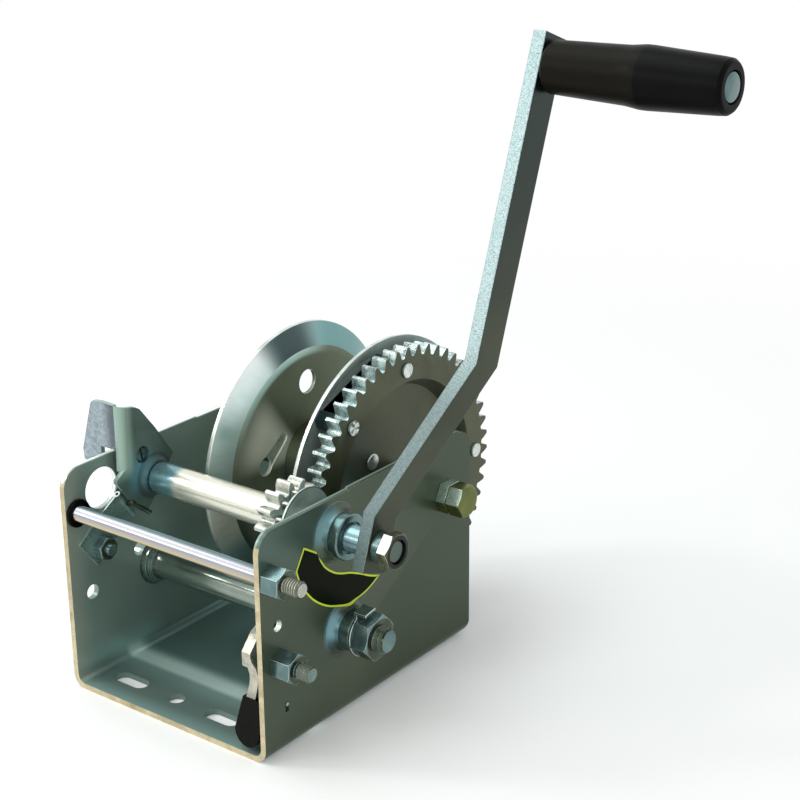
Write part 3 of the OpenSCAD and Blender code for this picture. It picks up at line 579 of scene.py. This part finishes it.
# screw thread along X, cut square at both ends and chamfered at the right
def addThread(work, centre, x0, x1, radius, pitch):
    thread = bmesh.new()
    depth = pitch * threadForm["depth"]
    start = x0 - pitch
    stepsPerTurn = threadForm["stepsPerTurn"]
    verts = [thread.verts.new((start + f * pitch, centre[0], centre[1] + radius - d * depth))
             for f, d in threadForm["profile"]]
    edges = [thread.edges.new(pair) for pair in zip(verts, verts[1:])]
    turns = math.ceil((x1 - x0) / pitch) + 2
    bmesh.ops.spin(thread, geom=verts + edges, cent=(0, centre[0], centre[1]), axis=(1, 0, 0),
                   dvec=(pitch / stepsPerTurn, 0, 0), angle=math.tau * turns, steps=stepsPerTurn * turns,
                   use_duplicate=False)
    bmesh.ops.remove_doubles(thread, verts=thread.verts, dist=threadForm["merge"])
    cutEnd(thread, x0, -1)
    cutEnd(thread, x1)
    for v in thread.verts:
        out = Vector((0, v.co.y - centre[0], v.co.z - centre[1]))
        most = radius - depth * threadForm["endDepth"] + (x1 - v.co.x) * threadForm["endSlope"]
        if out.length > most:
            out *= most / out.length
            v.co.y, v.co.z = centre[0] + out.y, centre[1] + out.z
    bmesh.ops.recalc_face_normals(thread, faces=thread.faces)
    joinInto(work, thread)


# adds one bmesh to another and frees it
def joinInto(work, other, materialIndex=0):
    for face in other.faces:
        face.material_index = materialIndex
    mesh = bpy.data.meshes.new("draft")
    other.to_mesh(mesh)
    other.free()
    work.from_mesh(mesh)
    bpy.data.meshes.remove(mesh)


# a place on a line along X, with the Z axis of what is put there turned to X
def alongX(x, centre):
    return Matrix.Translation((x, *centre)) @ Matrix.Rotation(math.pi / 2, 4, "Y")


# a small made piece is softened only where its faces meet more steeply than this
squareAngle = 60


# round bar along X
def addBar(work, centre, x0, x1, radius, segments, bevel=0.0):
    bar = bmesh.new()
    bmesh.ops.create_cone(bar, cap_ends=True, segments=segments, radius1=radius, radius2=radius,
                          depth=x1 - x0, matrix=alongX((x0 + x1) / 2, centre))
    if bevel:
        bevelSharp(bar, bevel, edgeSteps, squareAngle)
    joinInto(work, bar)


# how far a normal points along X: below the first the face is a side, above the second an end
sideOn, endOn = 0.5, 0.9

# frame: sawn front and rear edges (beige, partly painted warm light) and the small hole's rim (painted
# highlight) are painted apart from the rolled faces
frameLook = {"bevel": 0.0006, "edgeDepth": 0.0012, "edgeFacing": 0.6, "hole": (0.0133, 0.0798),
             "holeReach": 0.004}
frameTone, sawnWarmLitTone, edgeWearHighlightTone = 0, 1, 2


def paintFrame(face):
    c = face.calc_center_median()
    if abs(face.normal.y) > frameLook["edgeFacing"] and abs(c.y) > -frontEdge - frameLook["edgeDepth"]:
        return sawnWarmLitTone
    fromHole = math.hypot(c.y - frontEdge - frameLook["hole"][0], c.z - frameLook["hole"][1])
    return edgeWearHighlightTone if fromHole < frameLook["holeReach"] and abs(face.normal.x) < sideOn else frameTone


# softened edges of the frame take the worn tone with its painted highlight
work = nodeMesh("frame")
for face in bevelSharp(work, frameLook["bevel"], edgeSteps):
    face.material_index = edgeWearHighlightTone
for face in work.faces:
    if face.material_index != edgeWearHighlightTone or face.normal.y < -sideOn:
        face.material_index = paintFrame(face)
finishPiece(work, "framePiece", ["plateZinc", "sawnEdgeWarmLight", "edgeWearAndHighlight"], "frame_body",
            ("frame",))
print("frame dressed")

# rods with threaded ends: axis, end of the plain part, thread start, thread end, radius, pitch, looks
threads = {
    "tie_rod": ("tie", 0.0871, 0.0871, 0.0975, 0.0047, 0.0016, ["rodZinc", "pinionZinc", "grooveShadeZinc"]),
    "pawl_bolt": ("pawl", 0.0884, 0.0896, 0.0975, 0.0047, 0.0016,
                  ["hardwareZinc", "springZinc", "grooveShadeZinc"]),
    "countershaft": ("lay", 0.1004, 0.1004, 0.1065, 0.0078, 0.0029,
                     ["axleZinc", "hardwareZinc", "shadedZinc"]),
}
# coreDepth and sunkDepth are shares of the pitch
threadLook = {"softening": 0.0003, "coreOverlap": 0.001, "coreGap": 0.0012, "coreDepth": 0.55,
              "coreSegments": 32, "sunkDepth": 0.2, "backFacing": -0.3, "endFacing": 0.97, "smoothAngle": 28}
for nodeName, (axisName, plainEnd, x0, x1, radius, pitch, looks) in threads.items():
    work = nodeMesh(nodeName)
    cutEnd(work, plainEnd)
    bevelSharp(work, threadLook["softening"], 1)
    addBar(work, axis[axisName], plainEnd - threadLook["coreOverlap"], x1 - threadLook["coreGap"],
           radius - pitch * threadLook["coreDepth"], threadLook["coreSegments"])
    addThread(work, axis[axisName], x0, x1, radius, pitch)
    # faces deep in the thread or facing back take the third look, a painted shade
    for face in work.faces:
        c = face.calc_center_median()
        deep = fromAxis(c, axisName) < radius - pitch * threadLook["sunkDepth"]
        back = face.normal.x < threadLook["backFacing"]
        sunk = abs(face.normal.x) < threadLook["endFacing"] and (deep or back)
        face.material_index = 0 if c.x < plainEnd else 2 if sunk else 1
    finishPiece(work, nodeName + "Piece", looks, bodyOf[nodeName], (nodeName,),
                threadLook["smoothAngle"])
print("threads cut")

# the drum's painted zones, by radius or by place along X
drumLook = {"toothRadius": 0.0795, "rootRadius": 0.0775, "gearFacing": 0.97, "rimRadius": 0.08,
            "recessFace": -0.0305, "recessRadius": 0.05, "coneRadius": 0.0708, "pocketFacing": 0.1}


# gear teeth take the lighter tone of painted highlight
def paintGear(face):
    reach = fromDrum(face)
    rim = reach > drumLook["toothRadius"] or (reach > drumLook["rootRadius"] and abs(face.normal.x) < endOn)
    return 1 if rim and face.normal.x < drumLook["gearFacing"] else 0


# right faces of the pinions are smooth and take a lighter tone of painted light, the teeth are brighter
def paintPinion(face):
    return 1 if face.normal.x > endOn else 0


# a flange's outer rim, and the recess round the hub, both in the bright edge tone of wear and painted
# highlight
def onRim(face):
    recess = face.normal.x > endOn and face.calc_center_median().x < drumLook["recessFace"]
    return (recess and fromDrum(face) < drumLook["recessRadius"]
            or abs(face.normal.x) < sideOn and fromDrum(face) > drumLook["rimRadius"])


# the cone takes the lighter tone with painted reflections, the rim and recess the bright edge tone
def paintCone(face):
    return 2 if onRim(face) else 1 if fromDrum(face) > drumLook["coneRadius"] else 0


# the right flange's +X faces take the painted light tone, the rim and recess the bright edge tone
def paintLitPocket(face):
    return 2 if onRim(face) else 1 if face.normal.x > drumLook["pocketFacing"] else 0


# how far the normals of a nut's flats point up or to the front for each look, and the crank nut's dark bore
nutLook = {"lower": -0.35, "axleUpper": 0.2, "axleFront": -0.9, "lockUpper": 0.1, "lockFront": -0.2,
           "crankEnd": 0.8, "crankFront": -0.3, "boreFace": 0.1155, "boreRadius": 0.0072}


# nuts: upper flats bright, lower flats and end in a painted shade
def paintNut(face):
    return 1 if face.normal.z < nutLook["lower"] or face.normal.x > endOn else 0


# the drum axle nuts: upper and front flats in a painted highlight
def paintAxleNut(face):
    bright = face.normal.z > nutLook["axleUpper"] or face.normal.y < nutLook["axleFront"]
    return 1 if bright and abs(face.normal.x) < sideOn else 0


def paintAxleLockNut(face):
    bright = face.normal.z > nutLook["lockUpper"] and face.normal.y < nutLook["lockFront"]
    return 1 if bright and abs(face.normal.x) < sideOn else 0


# crank nut: the bore and the end facing +X in painted shade, the upper front flats in a painted highlight
def paintCrankNut(face):
    c = face.calc_center_median()
    if c.x > nutLook["boreFace"] and fromAxis(c, "crank") < nutLook["boreRadius"]:
        return 1
    if face.normal.x > nutLook["crankEnd"]:
        return 3
    return 2 if face.normal.y < nutLook["crankFront"] and face.normal.z > nutLook["crankFront"] else 0


# lever: where its pad begins along X, and the rear and front faces of its sheet
leverLook = {"padEnd": -0.0675, "back": -0.066, "face": -0.063}


def paintLever(face):
    return 1 if abs(face.normal.y) > endOn and face.calc_center_median().x < leverLook["padEnd"] else 0


handleLean = math.radians(20.4)


# the narrow edges of the handle are rough rolled bar, its broad faces are smooth
def paintHandle(face):
    across = Vector((0, math.cos(handleLean), -math.sin(handleLean)))
    return 1 if abs(face.normal.dot(across)) > sideOn else 0


# the strip's narrow sides and the outside of its curl point less along X than this, and take the bright edge
# tone of wear and painted highlight
springFacing = 0.35


def paintSpring(face):
    return 1 if abs(face.normal.x) < springFacing else 0


nutDress = (["hardwareZinc", "shadedZinc", "edgeWearAndHighlight"], 0.0003, paintNut, True)
pinionDress = (["pinionZinc", "litPinionFace", "edgeWearAndHighlight"], 0.0006, paintPinion, True)

# node: looks, edge softening, way of painting, whether the softened edges get the last look
dressed = {
    "flange_left": (["flangeZinc", "litConeZinc", "edgeWearAndHighlight"], 0.0005, paintCone, True),
    "flange_right": (["flangeZinc", "litPocketZinc", "edgeWearAndHighlight"], 0.0005, paintLitPocket, True),
    "drum_hub": (["gearZinc"], 0.0004, None, False),
    "ring_gear": (["gearZinc", "highlitToothZinc"], 0.0006, paintGear, False),
    "high_pinion": pinionDress,
    "low_pinion": (["gearZinc", "edgeWearAndHighlight"], 0.0005, None, True),
    "countershaft_pinion": pinionDress,
    "countershaft_gear": (["gearZinc", "edgeWearAndHighlight"], 0.0005, None, True),
    # the disc in the painted light tone, its softened edges in painted shade
    "pinion_disc": (["litPinionFace", "shadeSteel"], 0.0004, None, True),
    "gear_rivets": (["hardwareZinc"], 0.0003, None, False),
    "shift_lever": (["leverZinc", "padZinc", "edgeWearAndHighlight"], 0.0005, paintLever, True),
    "crank_arm": (["handleZinc", "blastedZinc"], 0.0007, paintHandle, False),
    "crank_shaft": (["sleeveZinc"], 0.0004, None, False),
    "pawl": (["pawlZinc", "edgeWearAndHighlight"], 0.0006, None, True),
    "pawl_tip": (["tipRubber"], 0.0018, None, False),
    "leaf_spring": (["springZinc", "edgeWearAndHighlight"], 0.0003, paintSpring, True),
    "leaf_spring_bolt": (["hardwareZinc"], 0.0003, None, False),
    "leaf_spring_nut": nutDress,
    "crank_spacer": (["hardwareZinc"], 0.0004, None, False),
    "crank_nut": (["goldenZinc", "shadeSteel", "edgeWearAndHighlight", "shadedZinc"], 0.0003, paintCrankNut, False),
    "grip_pin": (["hardwareZinc"], 0.0005, None, False),
    "crank_bushing_right": (["hardwareZinc"], 0.0003, None, False),
    "crank_bushing_left": (["hardwareZinc"], 0.0004, None, False),
    "countershaft_bushing_left": (["axleZinc", "springZinc"], 0.0005, None, True),
    "countershaft_spacer": (["hardwareZinc"], 0.0003, None, False),
    "countershaft_bushing_right": (["hardwareZinc"], 0.0003, None, False),
    "countershaft_tab_washer": (["hardwareZinc", "edgeWearAndHighlight"], 0.0003, None, True),
    "countershaft_nut": nutDress,
    "drum_axle_bolt": (["yellowZinc"], 0.0003, None, False),
    "drum_axle_nut": (["yellowZinc", "highlitYellowZinc"], 0.0003, paintAxleNut, False),
    "drum_axle_lock_nut": (["yellowZinc", "highlitYellowZinc"], 0.0003, paintAxleLockNut, False),
    "pawl_nut": nutDress,
    "tie_rod_nut": nutDress,
    "tie_rod_washer": (["tipRubber"], 0.0006, None, False),
    "grip": (["gripPlastic"], 0.0008, None, False),
}
usualCrease = 20
creaseAngles = {"grip": 8}
for nodeName, (looks, width, paint, edge) in dressed.items():
    dress(nodeName, looks, width, paint, edge, creaseAngles.get(nodeName, usualCrease))
print("pieces dressed")

# sticker: a bare black crescent with a thin border, laid over the drawn boss
decalLook = {"border": 1.05, "corners": (0, 1, 9, 18), "curveSteps": 4, "sharpest": 0.35, "lift": 0.00006,
             "thick": 0.00012, "cutStep": 0.0015, "bossRadius": 0.0127, "bossDraw": 0.005}
decalOutline = [(36.5, 117.2), (48.8, 109.5), (50.7, 104.3), (54.8, 98.5), (61.6, 93.1), (68.5, 89.8),
                (75.8, 87.4), (85.0, 83.2), (93.7, 78.6), (102.3, 75.2), (93.4, 70.9), (84.1, 68.6),
                (75.0, 68.6), (64.4, 70.4), (54.0, 74.7), (44.7, 81.2), (37.4, 89.1), (31.9, 97.9),
                (29.3, 105.5)]


# height of the plate's outer face where the boss is drawn out of it
def bossHeight(y, z):
    d = decalLook["bossDraw"]
    out = math.hypot(y - axis["lay"][0], z - axis["lay"][1]) - decalLook["bossRadius"]
    if out >= d:
        return 0.0
    return d - math.sqrt(max(d * d - (d - max(out, 0.0)) ** 2, 0.0))


# the outline moved inward by the width of the border
def insetOutline(points, width):
    turned = sum(a[0] * b[1] - b[0] * a[1] for a, b in zip(points, points[1:] + points[:1]))
    side = 1 if turned > 0 else -1
    moved = []
    for before, here, after in zip(points[-1:] + points[:-1], points, points[1:] + points[:1]):
        legs = [(here[0] - before[0], here[1] - before[1]), (after[0] - here[0], after[1] - here[1])]
        normals = [Vector((-ly, lx)).normalized() * side for lx, ly in legs]
        middle = (normals[0] + normals[1]).normalized()
        reach = width / max(middle.dot(normals[0]), decalLook["sharpest"])
        moved.append((here[0] + middle.x * reach, here[1] + middle.y * reach))
    return moved


# rounds the outline between its corners, with a curve that goes through every point
def smoothOutline(points, corners):
    smooth = []
    steps = decalLook["curveSteps"]
    for i, here in enumerate(points):
        after = points[(i + 1) % len(points)]
        before = here if i in corners else points[i - 1]
        beyond = after if (i + 1) % len(points) in corners else points[(i + 2) % len(points)]
        for k in range(steps):
            t = k / steps
            weights = (-t + 2 * t * t - t ** 3, 2 - 5 * t * t + 3 * t ** 3,
                       t + 4 * t * t - 3 * t ** 3, t ** 3 - t * t)
            smooth.append(tuple(sum(w * p[n] for w, p in zip(weights, (before, here, after, beyond))) / 2
                                for n in (0, 1)))
    return smooth


def makeDecal():
    work = bmesh.new()
    outline = smoothOutline(decalOutline, decalLook["corners"])
    rings = []
    for points in (outline, insetOutline(outline, decalLook["border"])):
        rings.append([work.verts.new((plateFace, frontEdge + y * mm, z * mm)) for y, z in points])
    work.faces.new(rings[1])
    for i in range(len(outline)):
        strip = work.faces.new((rings[0][i - 1], rings[0][i], rings[1][i], rings[1][i - 1]))
        strip.material_index = 1
    bmesh.ops.triangulate(work, faces=work.faces[:])
    step = decalLook["cutStep"]
    for axisIndex in (1, 2):
        low = min(v.co[axisIndex] for v in work.verts)
        high = max(v.co[axisIndex] for v in work.verts)
        for i in range(1, int((high - low) / step) + 1):
            point, normal = [0, 0, 0], [0, 0, 0]
            point[axisIndex], normal[axisIndex] = low + i * step, 1
            bmesh.ops.bisect_plane(work, geom=work.verts[:] + work.edges[:] + work.faces[:],
                                   plane_co=point, plane_no=normal)
    bmesh.ops.recalc_face_normals(work, faces=work.faces)
    if sum(f.normal.x for f in work.faces) < 0:
        bmesh.ops.reverse_faces(work, faces=work.faces)
    raised = bmesh.ops.extrude_face_region(work, geom=work.faces[:], use_keep_orig=True)
    top = {v for v in raised["geom"] if isinstance(v, bmesh.types.BMVert)}
    for v in work.verts:
        thick = decalLook["thick"] if v in top else 0
        v.co.x = plateFace + decalLook["lift"] + bossHeight(v.co.y, v.co.z) + thick
    bmesh.ops.recalc_face_normals(work, faces=work.faces)
    finishPiece(work, "crescentSticker", ["decalBlack", "decalBorder"], "frame_body")


makeDecal()

# staked rivet heads on the gear face: "inset" is a share of the radius, "burr" how far the staking
# pushes the rim of the middle out and in
rivetLook = {"circle": 0.0725, "count": 8, "turn": -1, "radius": 0.0044, "face": 0.0468, "rise": 0.0006,
             "segments": 16, "inset": 0.3, "burr": (0.0004, -0.0005)}


def makeStakedHeads():
    work = bmesh.new()
    for k in range(rivetLook["count"]):
        a = math.radians(360 / rivetLook["count"] * k + rivetLook["turn"])
        cy = axis["drum"][0] + rivetLook["circle"] * math.cos(a)
        cz = axis["drum"][1] + rivetLook["circle"] * math.sin(a)
        head = bmesh.new()
        bmesh.ops.create_circle(head, cap_ends=True, segments=rivetLook["segments"],
                                radius=rivetLook["radius"], matrix=alongX(rivetLook["face"], (cy, cz)))
        raised = bmesh.ops.extrude_face_region(head, geom=head.faces[:])["geom"]
        for v in (part for part in raised if isinstance(part, bmesh.types.BMVert)):
            v.co.x += rivetLook["rise"]
        bmesh.ops.inset_region(head, faces=[part for part in raised if isinstance(part, bmesh.types.BMFace)],
                               thickness=rivetLook["radius"] * rivetLook["inset"])
        centre = [f for f in head.faces if len(f.verts) == rivetLook["segments"]
                  and f.calc_center_median().x > rivetLook["face"]]
        corners = list(centre[0].verts)
        bmesh.ops.poke(head, faces=centre)
        for i, v in enumerate(corners):
            v.co.x += rivetLook["burr"][i % 4 // 2]
        bmesh.ops.recalc_face_normals(head, faces=head.faces)
        joinInto(work, head)
    finishPiece(work, "stakedRivetHeads", ["edgeWearAndHighlight"], "drum")


makeStakedHeads()


# round details: middle as (y, z), ends along X, radius, segments, softening, look, body, node whose slot they
# have, crease angle. The dimple is pressed up in the gear's web, the collar is pressed up around the left
# bushing of the countershaft, and the spring's end shows in the slot of the right plate.
dimpleCircle, dimpleAngle = 0.0276, math.radians(137)
# the dimple and the spring's end take bright tones that are painted highlights
roundDetails = {
    "webDimple": ((axis["drum"][0] + dimpleCircle * math.cos(dimpleAngle),
                   axis["drum"][1] + dimpleCircle * math.sin(dimpleAngle)),
                  (0.0355, 0.0374), 0.0052, 32, 0.0013, "edgeWearAndHighlight", "drum", "ring_gear", 60),
    "bushingCollar": (axis["lay"], (-0.0727, -0.0714), 0.0155, 64, 0.0006,
                      "axleZinc", "frame_body", "countershaft_bushing_left", 30),
    "pawlSpringEnd": ((frontEdge + 0.0187, 0.0298), (0.0700, 0.0757), 0.0012, 20, 0.0004,
                      "highlitToothZinc", "frame_body", "pawl_bolt", 30),
}
for name, (centre, ends, radius, segments, bevel, look, body, slotNode, crease) in roundDetails.items():
    work = bmesh.new()
    addBar(work, centre, *ends, radius, segments, bevel)
    finishPiece(work, name, [look], body, (), crease)
print("gear details made")

# slotted screw in the lever's round hole, set along X from the lever's rear face
screwLook = {"centre": (54.8, 132.1), "flange": (-0.0016, -0.0001), "flangeRadius": 0.0062,
             "softening": 0.0003, "segments": 40, "headMiddle": 0.0006, "headDepth": 0.0024,
             "headRadius": (0.0042, 0.0040), "slotMiddle": 0.0018, "slotTurn": 12,
             "slotSize": (0.0003, 0.0011, 0.0074, 1)}


# a place given in mm from the frame's front edge and its underside
def fromFront(place):
    return frontEdge + place[0] * mm, place[1] * mm


def makeLeverScrew():
    centre = fromFront(screwLook["centre"])
    back = leverLook["back"]
    work = bmesh.new()
    addBar(work, centre, *(back + x for x in screwLook["flange"]), screwLook["flangeRadius"],
           screwLook["segments"], screwLook["softening"])
    head = bmesh.new()
    low, high = screwLook["headRadius"]
    bmesh.ops.create_cone(head, cap_ends=True, segments=screwLook["segments"], radius1=low, radius2=high,
                          depth=screwLook["headDepth"], matrix=alongX(back + screwLook["headMiddle"], centre))
    joinInto(work, head)
    # the slot takes a painted shade
    slot = bmesh.new()
    place = Matrix.Translation((back + screwLook["slotMiddle"], *centre))
    turn = Matrix.Rotation(math.radians(screwLook["slotTurn"]), 4, "X")
    bmesh.ops.create_cube(slot, size=1, matrix=place @ turn @ Matrix.Diagonal(screwLook["slotSize"]))
    joinInto(work, slot, 1)
    finishPiece(work, "leverScrew", ["hardwareZinc", "shadeSteel"], "shift_lever_body",
                (), 40)


# split pin in the lever's small hole: its eye lies behind the lever, its two legs stand out in front
pinLook = {"centre": (44.6, 104.9), "start": -0.0012, "eyeEnd": -0.0001, "pinEnd": 0.0012,
           "pinRadius": 0.00155, "eyeRadius": 0.0028, "segments": 24, "softening": 0.0003,
           "legMiddle": (0.0074, 0.0008, -0.0014), "legSize": (0.0138, 0.0009, 0.0018, 1),
           "legLean": 9, "legSpread": 2, "legSoftening": 0.00025}


def makeSplitPin():
    centre = fromFront(pinLook["centre"])
    start = leverLook["back"] + pinLook["start"]
    work = bmesh.new()
    for end, radius in ((leverLook["face"] + pinLook["pinEnd"], pinLook["pinRadius"]),
                        (leverLook["back"] + pinLook["eyeEnd"], pinLook["eyeRadius"])):
        addBar(work, centre, start, end, radius, pinLook["segments"], pinLook["softening"])
    x, y, z = pinLook["legMiddle"]
    for side in (-1, 1):
        leg = bmesh.new()
        place = Matrix.Translation((leverLook["face"] + x, centre[0] + side * y, centre[1] + z))
        lean = Matrix.Rotation(math.radians(pinLook["legLean"]), 4, "Y")
        spread = Matrix.Rotation(math.radians(side * pinLook["legSpread"]), 4, "Z")
        bmesh.ops.create_cube(leg, size=1, matrix=place @ lean @ spread @ Matrix.Diagonal(pinLook["legSize"]))
        bevelSharp(leg, pinLook["legSoftening"], edgeSteps, squareAngle)
        joinInto(work, leg)
    finishPiece(work, "leverSplitPin", ["shadedZinc"], "shift_lever_body", (), 30)


makeLeverScrew()
makeSplitPin()
print("lever details made")


# floor, lights, camera
white = (1, 1, 1, 1)
stageLook = {"floorSize": 4.0, "floorTone": (0.9, 0.9, 0.9, 1), "floorRough": 0.95, "lift": 0.1,
             "fadeStart": 0.35, "fadeFull": 1.1, "fill": (0.70, 0.72, 0.71, 1)}


# one where the ray comes from the camera, a mirror or a glass, and so sees the background
def seenRay(tree):
    path = addNode(tree, "ShaderNodeLightPath")
    seen = mathNode(tree, "MAXIMUM", path.outputs["Is Camera Ray"], path.outputs["Is Glossy Ray"])
    return mathNode(tree, "MAXIMUM", seen, path.outputs["Is Transmission Ray"])


def makeFloor():
    work = bmesh.new()
    bmesh.ops.create_grid(work, x_segments=1, y_segments=1, size=stageLook["floorSize"])
    mesh = bpy.data.meshes.new("floor")
    work.to_mesh(mesh)
    work.free()
    floor = addObject("floor", mesh)
    material = bpy.data.materials.new("paleFloor")
    material.use_nodes = True
    tree = material.node_tree
    shader = tree.nodes["Principled BSDF"]
    shader.inputs["Base Color"].default_value = stageLook["floorTone"]
    shader.inputs["Roughness"].default_value = stageLook["floorRough"]
    shader.inputs["Specular IOR Level"].default_value = 0.0
    shader.inputs["Emission Color"].default_value = white
    seen = seenRay(tree)
    tree.links.new(mathNode(tree, "MULTIPLY", seen, stageLook["lift"]), shader.inputs["Emission Strength"])
    far = addNode(tree, "ShaderNodeEmission")
    fade = addNode(tree, "ShaderNodeMapRange", interpolation_type="SMOOTHSTEP")
    fade.inputs["From Min"].default_value = stageLook["fadeStart"]
    fade.inputs["From Max"].default_value = stageLook["fadeFull"]
    tree.links.new(vectorNode(tree, "LENGTH", objectPlace(tree)), fade.inputs["Value"])
    mix = addNode(tree, "ShaderNodeMixShader")
    tree.links.new(mathNode(tree, "MULTIPLY", seen, fade.outputs["Result"]), mix.inputs[0])
    tree.links.new(shader.outputs["BSDF"], mix.inputs[1])
    tree.links.new(far.outputs["Emission"], mix.inputs[2])
    tree.links.new(mix.outputs["Shader"], tree.nodes["Material Output"].inputs["Surface"])
    mesh.materials.append(material)


# place, what it is aimed at, size, power in watts, colour
lamps = {
    "topSoftbox": ((-0.5, -0.3, 1.6), (0, 0, 0.1), (1.2, 0.9), 9, (0.90, 0.98, 1.0)),
    "frontStrip": ((-0.4, -1.6, 0.9), (0, 0, 0.12), (1.5, 0.2), 6, (1.0, 0.93, 0.82)),
    "leftPanel": ((-1.3, -0.9, 1.1), (0, 0, 0.12), (0.3, 0.3), 6, (1.0, 0.97, 0.92)),
}


def makeLamp(name, place, target, size, power, colour):
    lamp = bpy.data.lights.new(name, "AREA")
    lamp.shape = "RECTANGLE"
    lamp.size, lamp.size_y = size
    lamp.energy = power
    lamp.color = colour
    holder = addObject(name, lamp)
    holder.location = place
    holder.rotation_euler = (Vector(target) - Vector(place)).to_track_quat("-Z", "Y").to_euler()


def makeWorld():
    world = bpy.data.worlds.new("studio")
    bpy.context.scene.world = world
    world.use_nodes = True
    tree = world.node_tree
    background = tree.nodes["Background"]
    background.inputs["Strength"].default_value = 1.0
    tree.links.new(mixNode(tree, seenRay(tree), stageLook["fill"], white), background.inputs["Color"])


makeFloor()
makeWorld()
for name, values in lamps.items():
    makeLamp(name, *values)

# angles in degrees, lens and sensor in mm
cameraLook = {"azimuth": 37.309, "elevation": 20.359, "roll": -0.510, "lens": 79.48, "sensor": 36,
              "place": (0.6392, -0.7133, 0.5211)}


def makeCamera():
    a, e, r = (math.radians(cameraLook[k]) for k in ("azimuth", "elevation", "roll"))
    back = Vector((math.sin(a) * math.cos(e), -math.cos(a) * math.cos(e), math.sin(e)))
    right = Vector((math.cos(a), math.sin(a), 0))
    up = back.cross(right)
    sideways = math.cos(r) * right + math.sin(r) * up
    upward = -math.sin(r) * right + math.cos(r) * up
    data = bpy.data.cameras.new("photoCamera")
    data.lens = cameraLook["lens"]
    data.sensor_width = cameraLook["sensor"]
    camera = addObject("photoCamera", data)
    turn = Matrix((sideways, upward, back)).transposed()
    camera.matrix_world = Matrix.Translation(cameraLook["place"]) @ turn.to_4x4()
    bpy.context.scene.camera = camera


makeCamera()
bpy.context.scene.view_settings.view_transform = "Standard"
print("stage set")
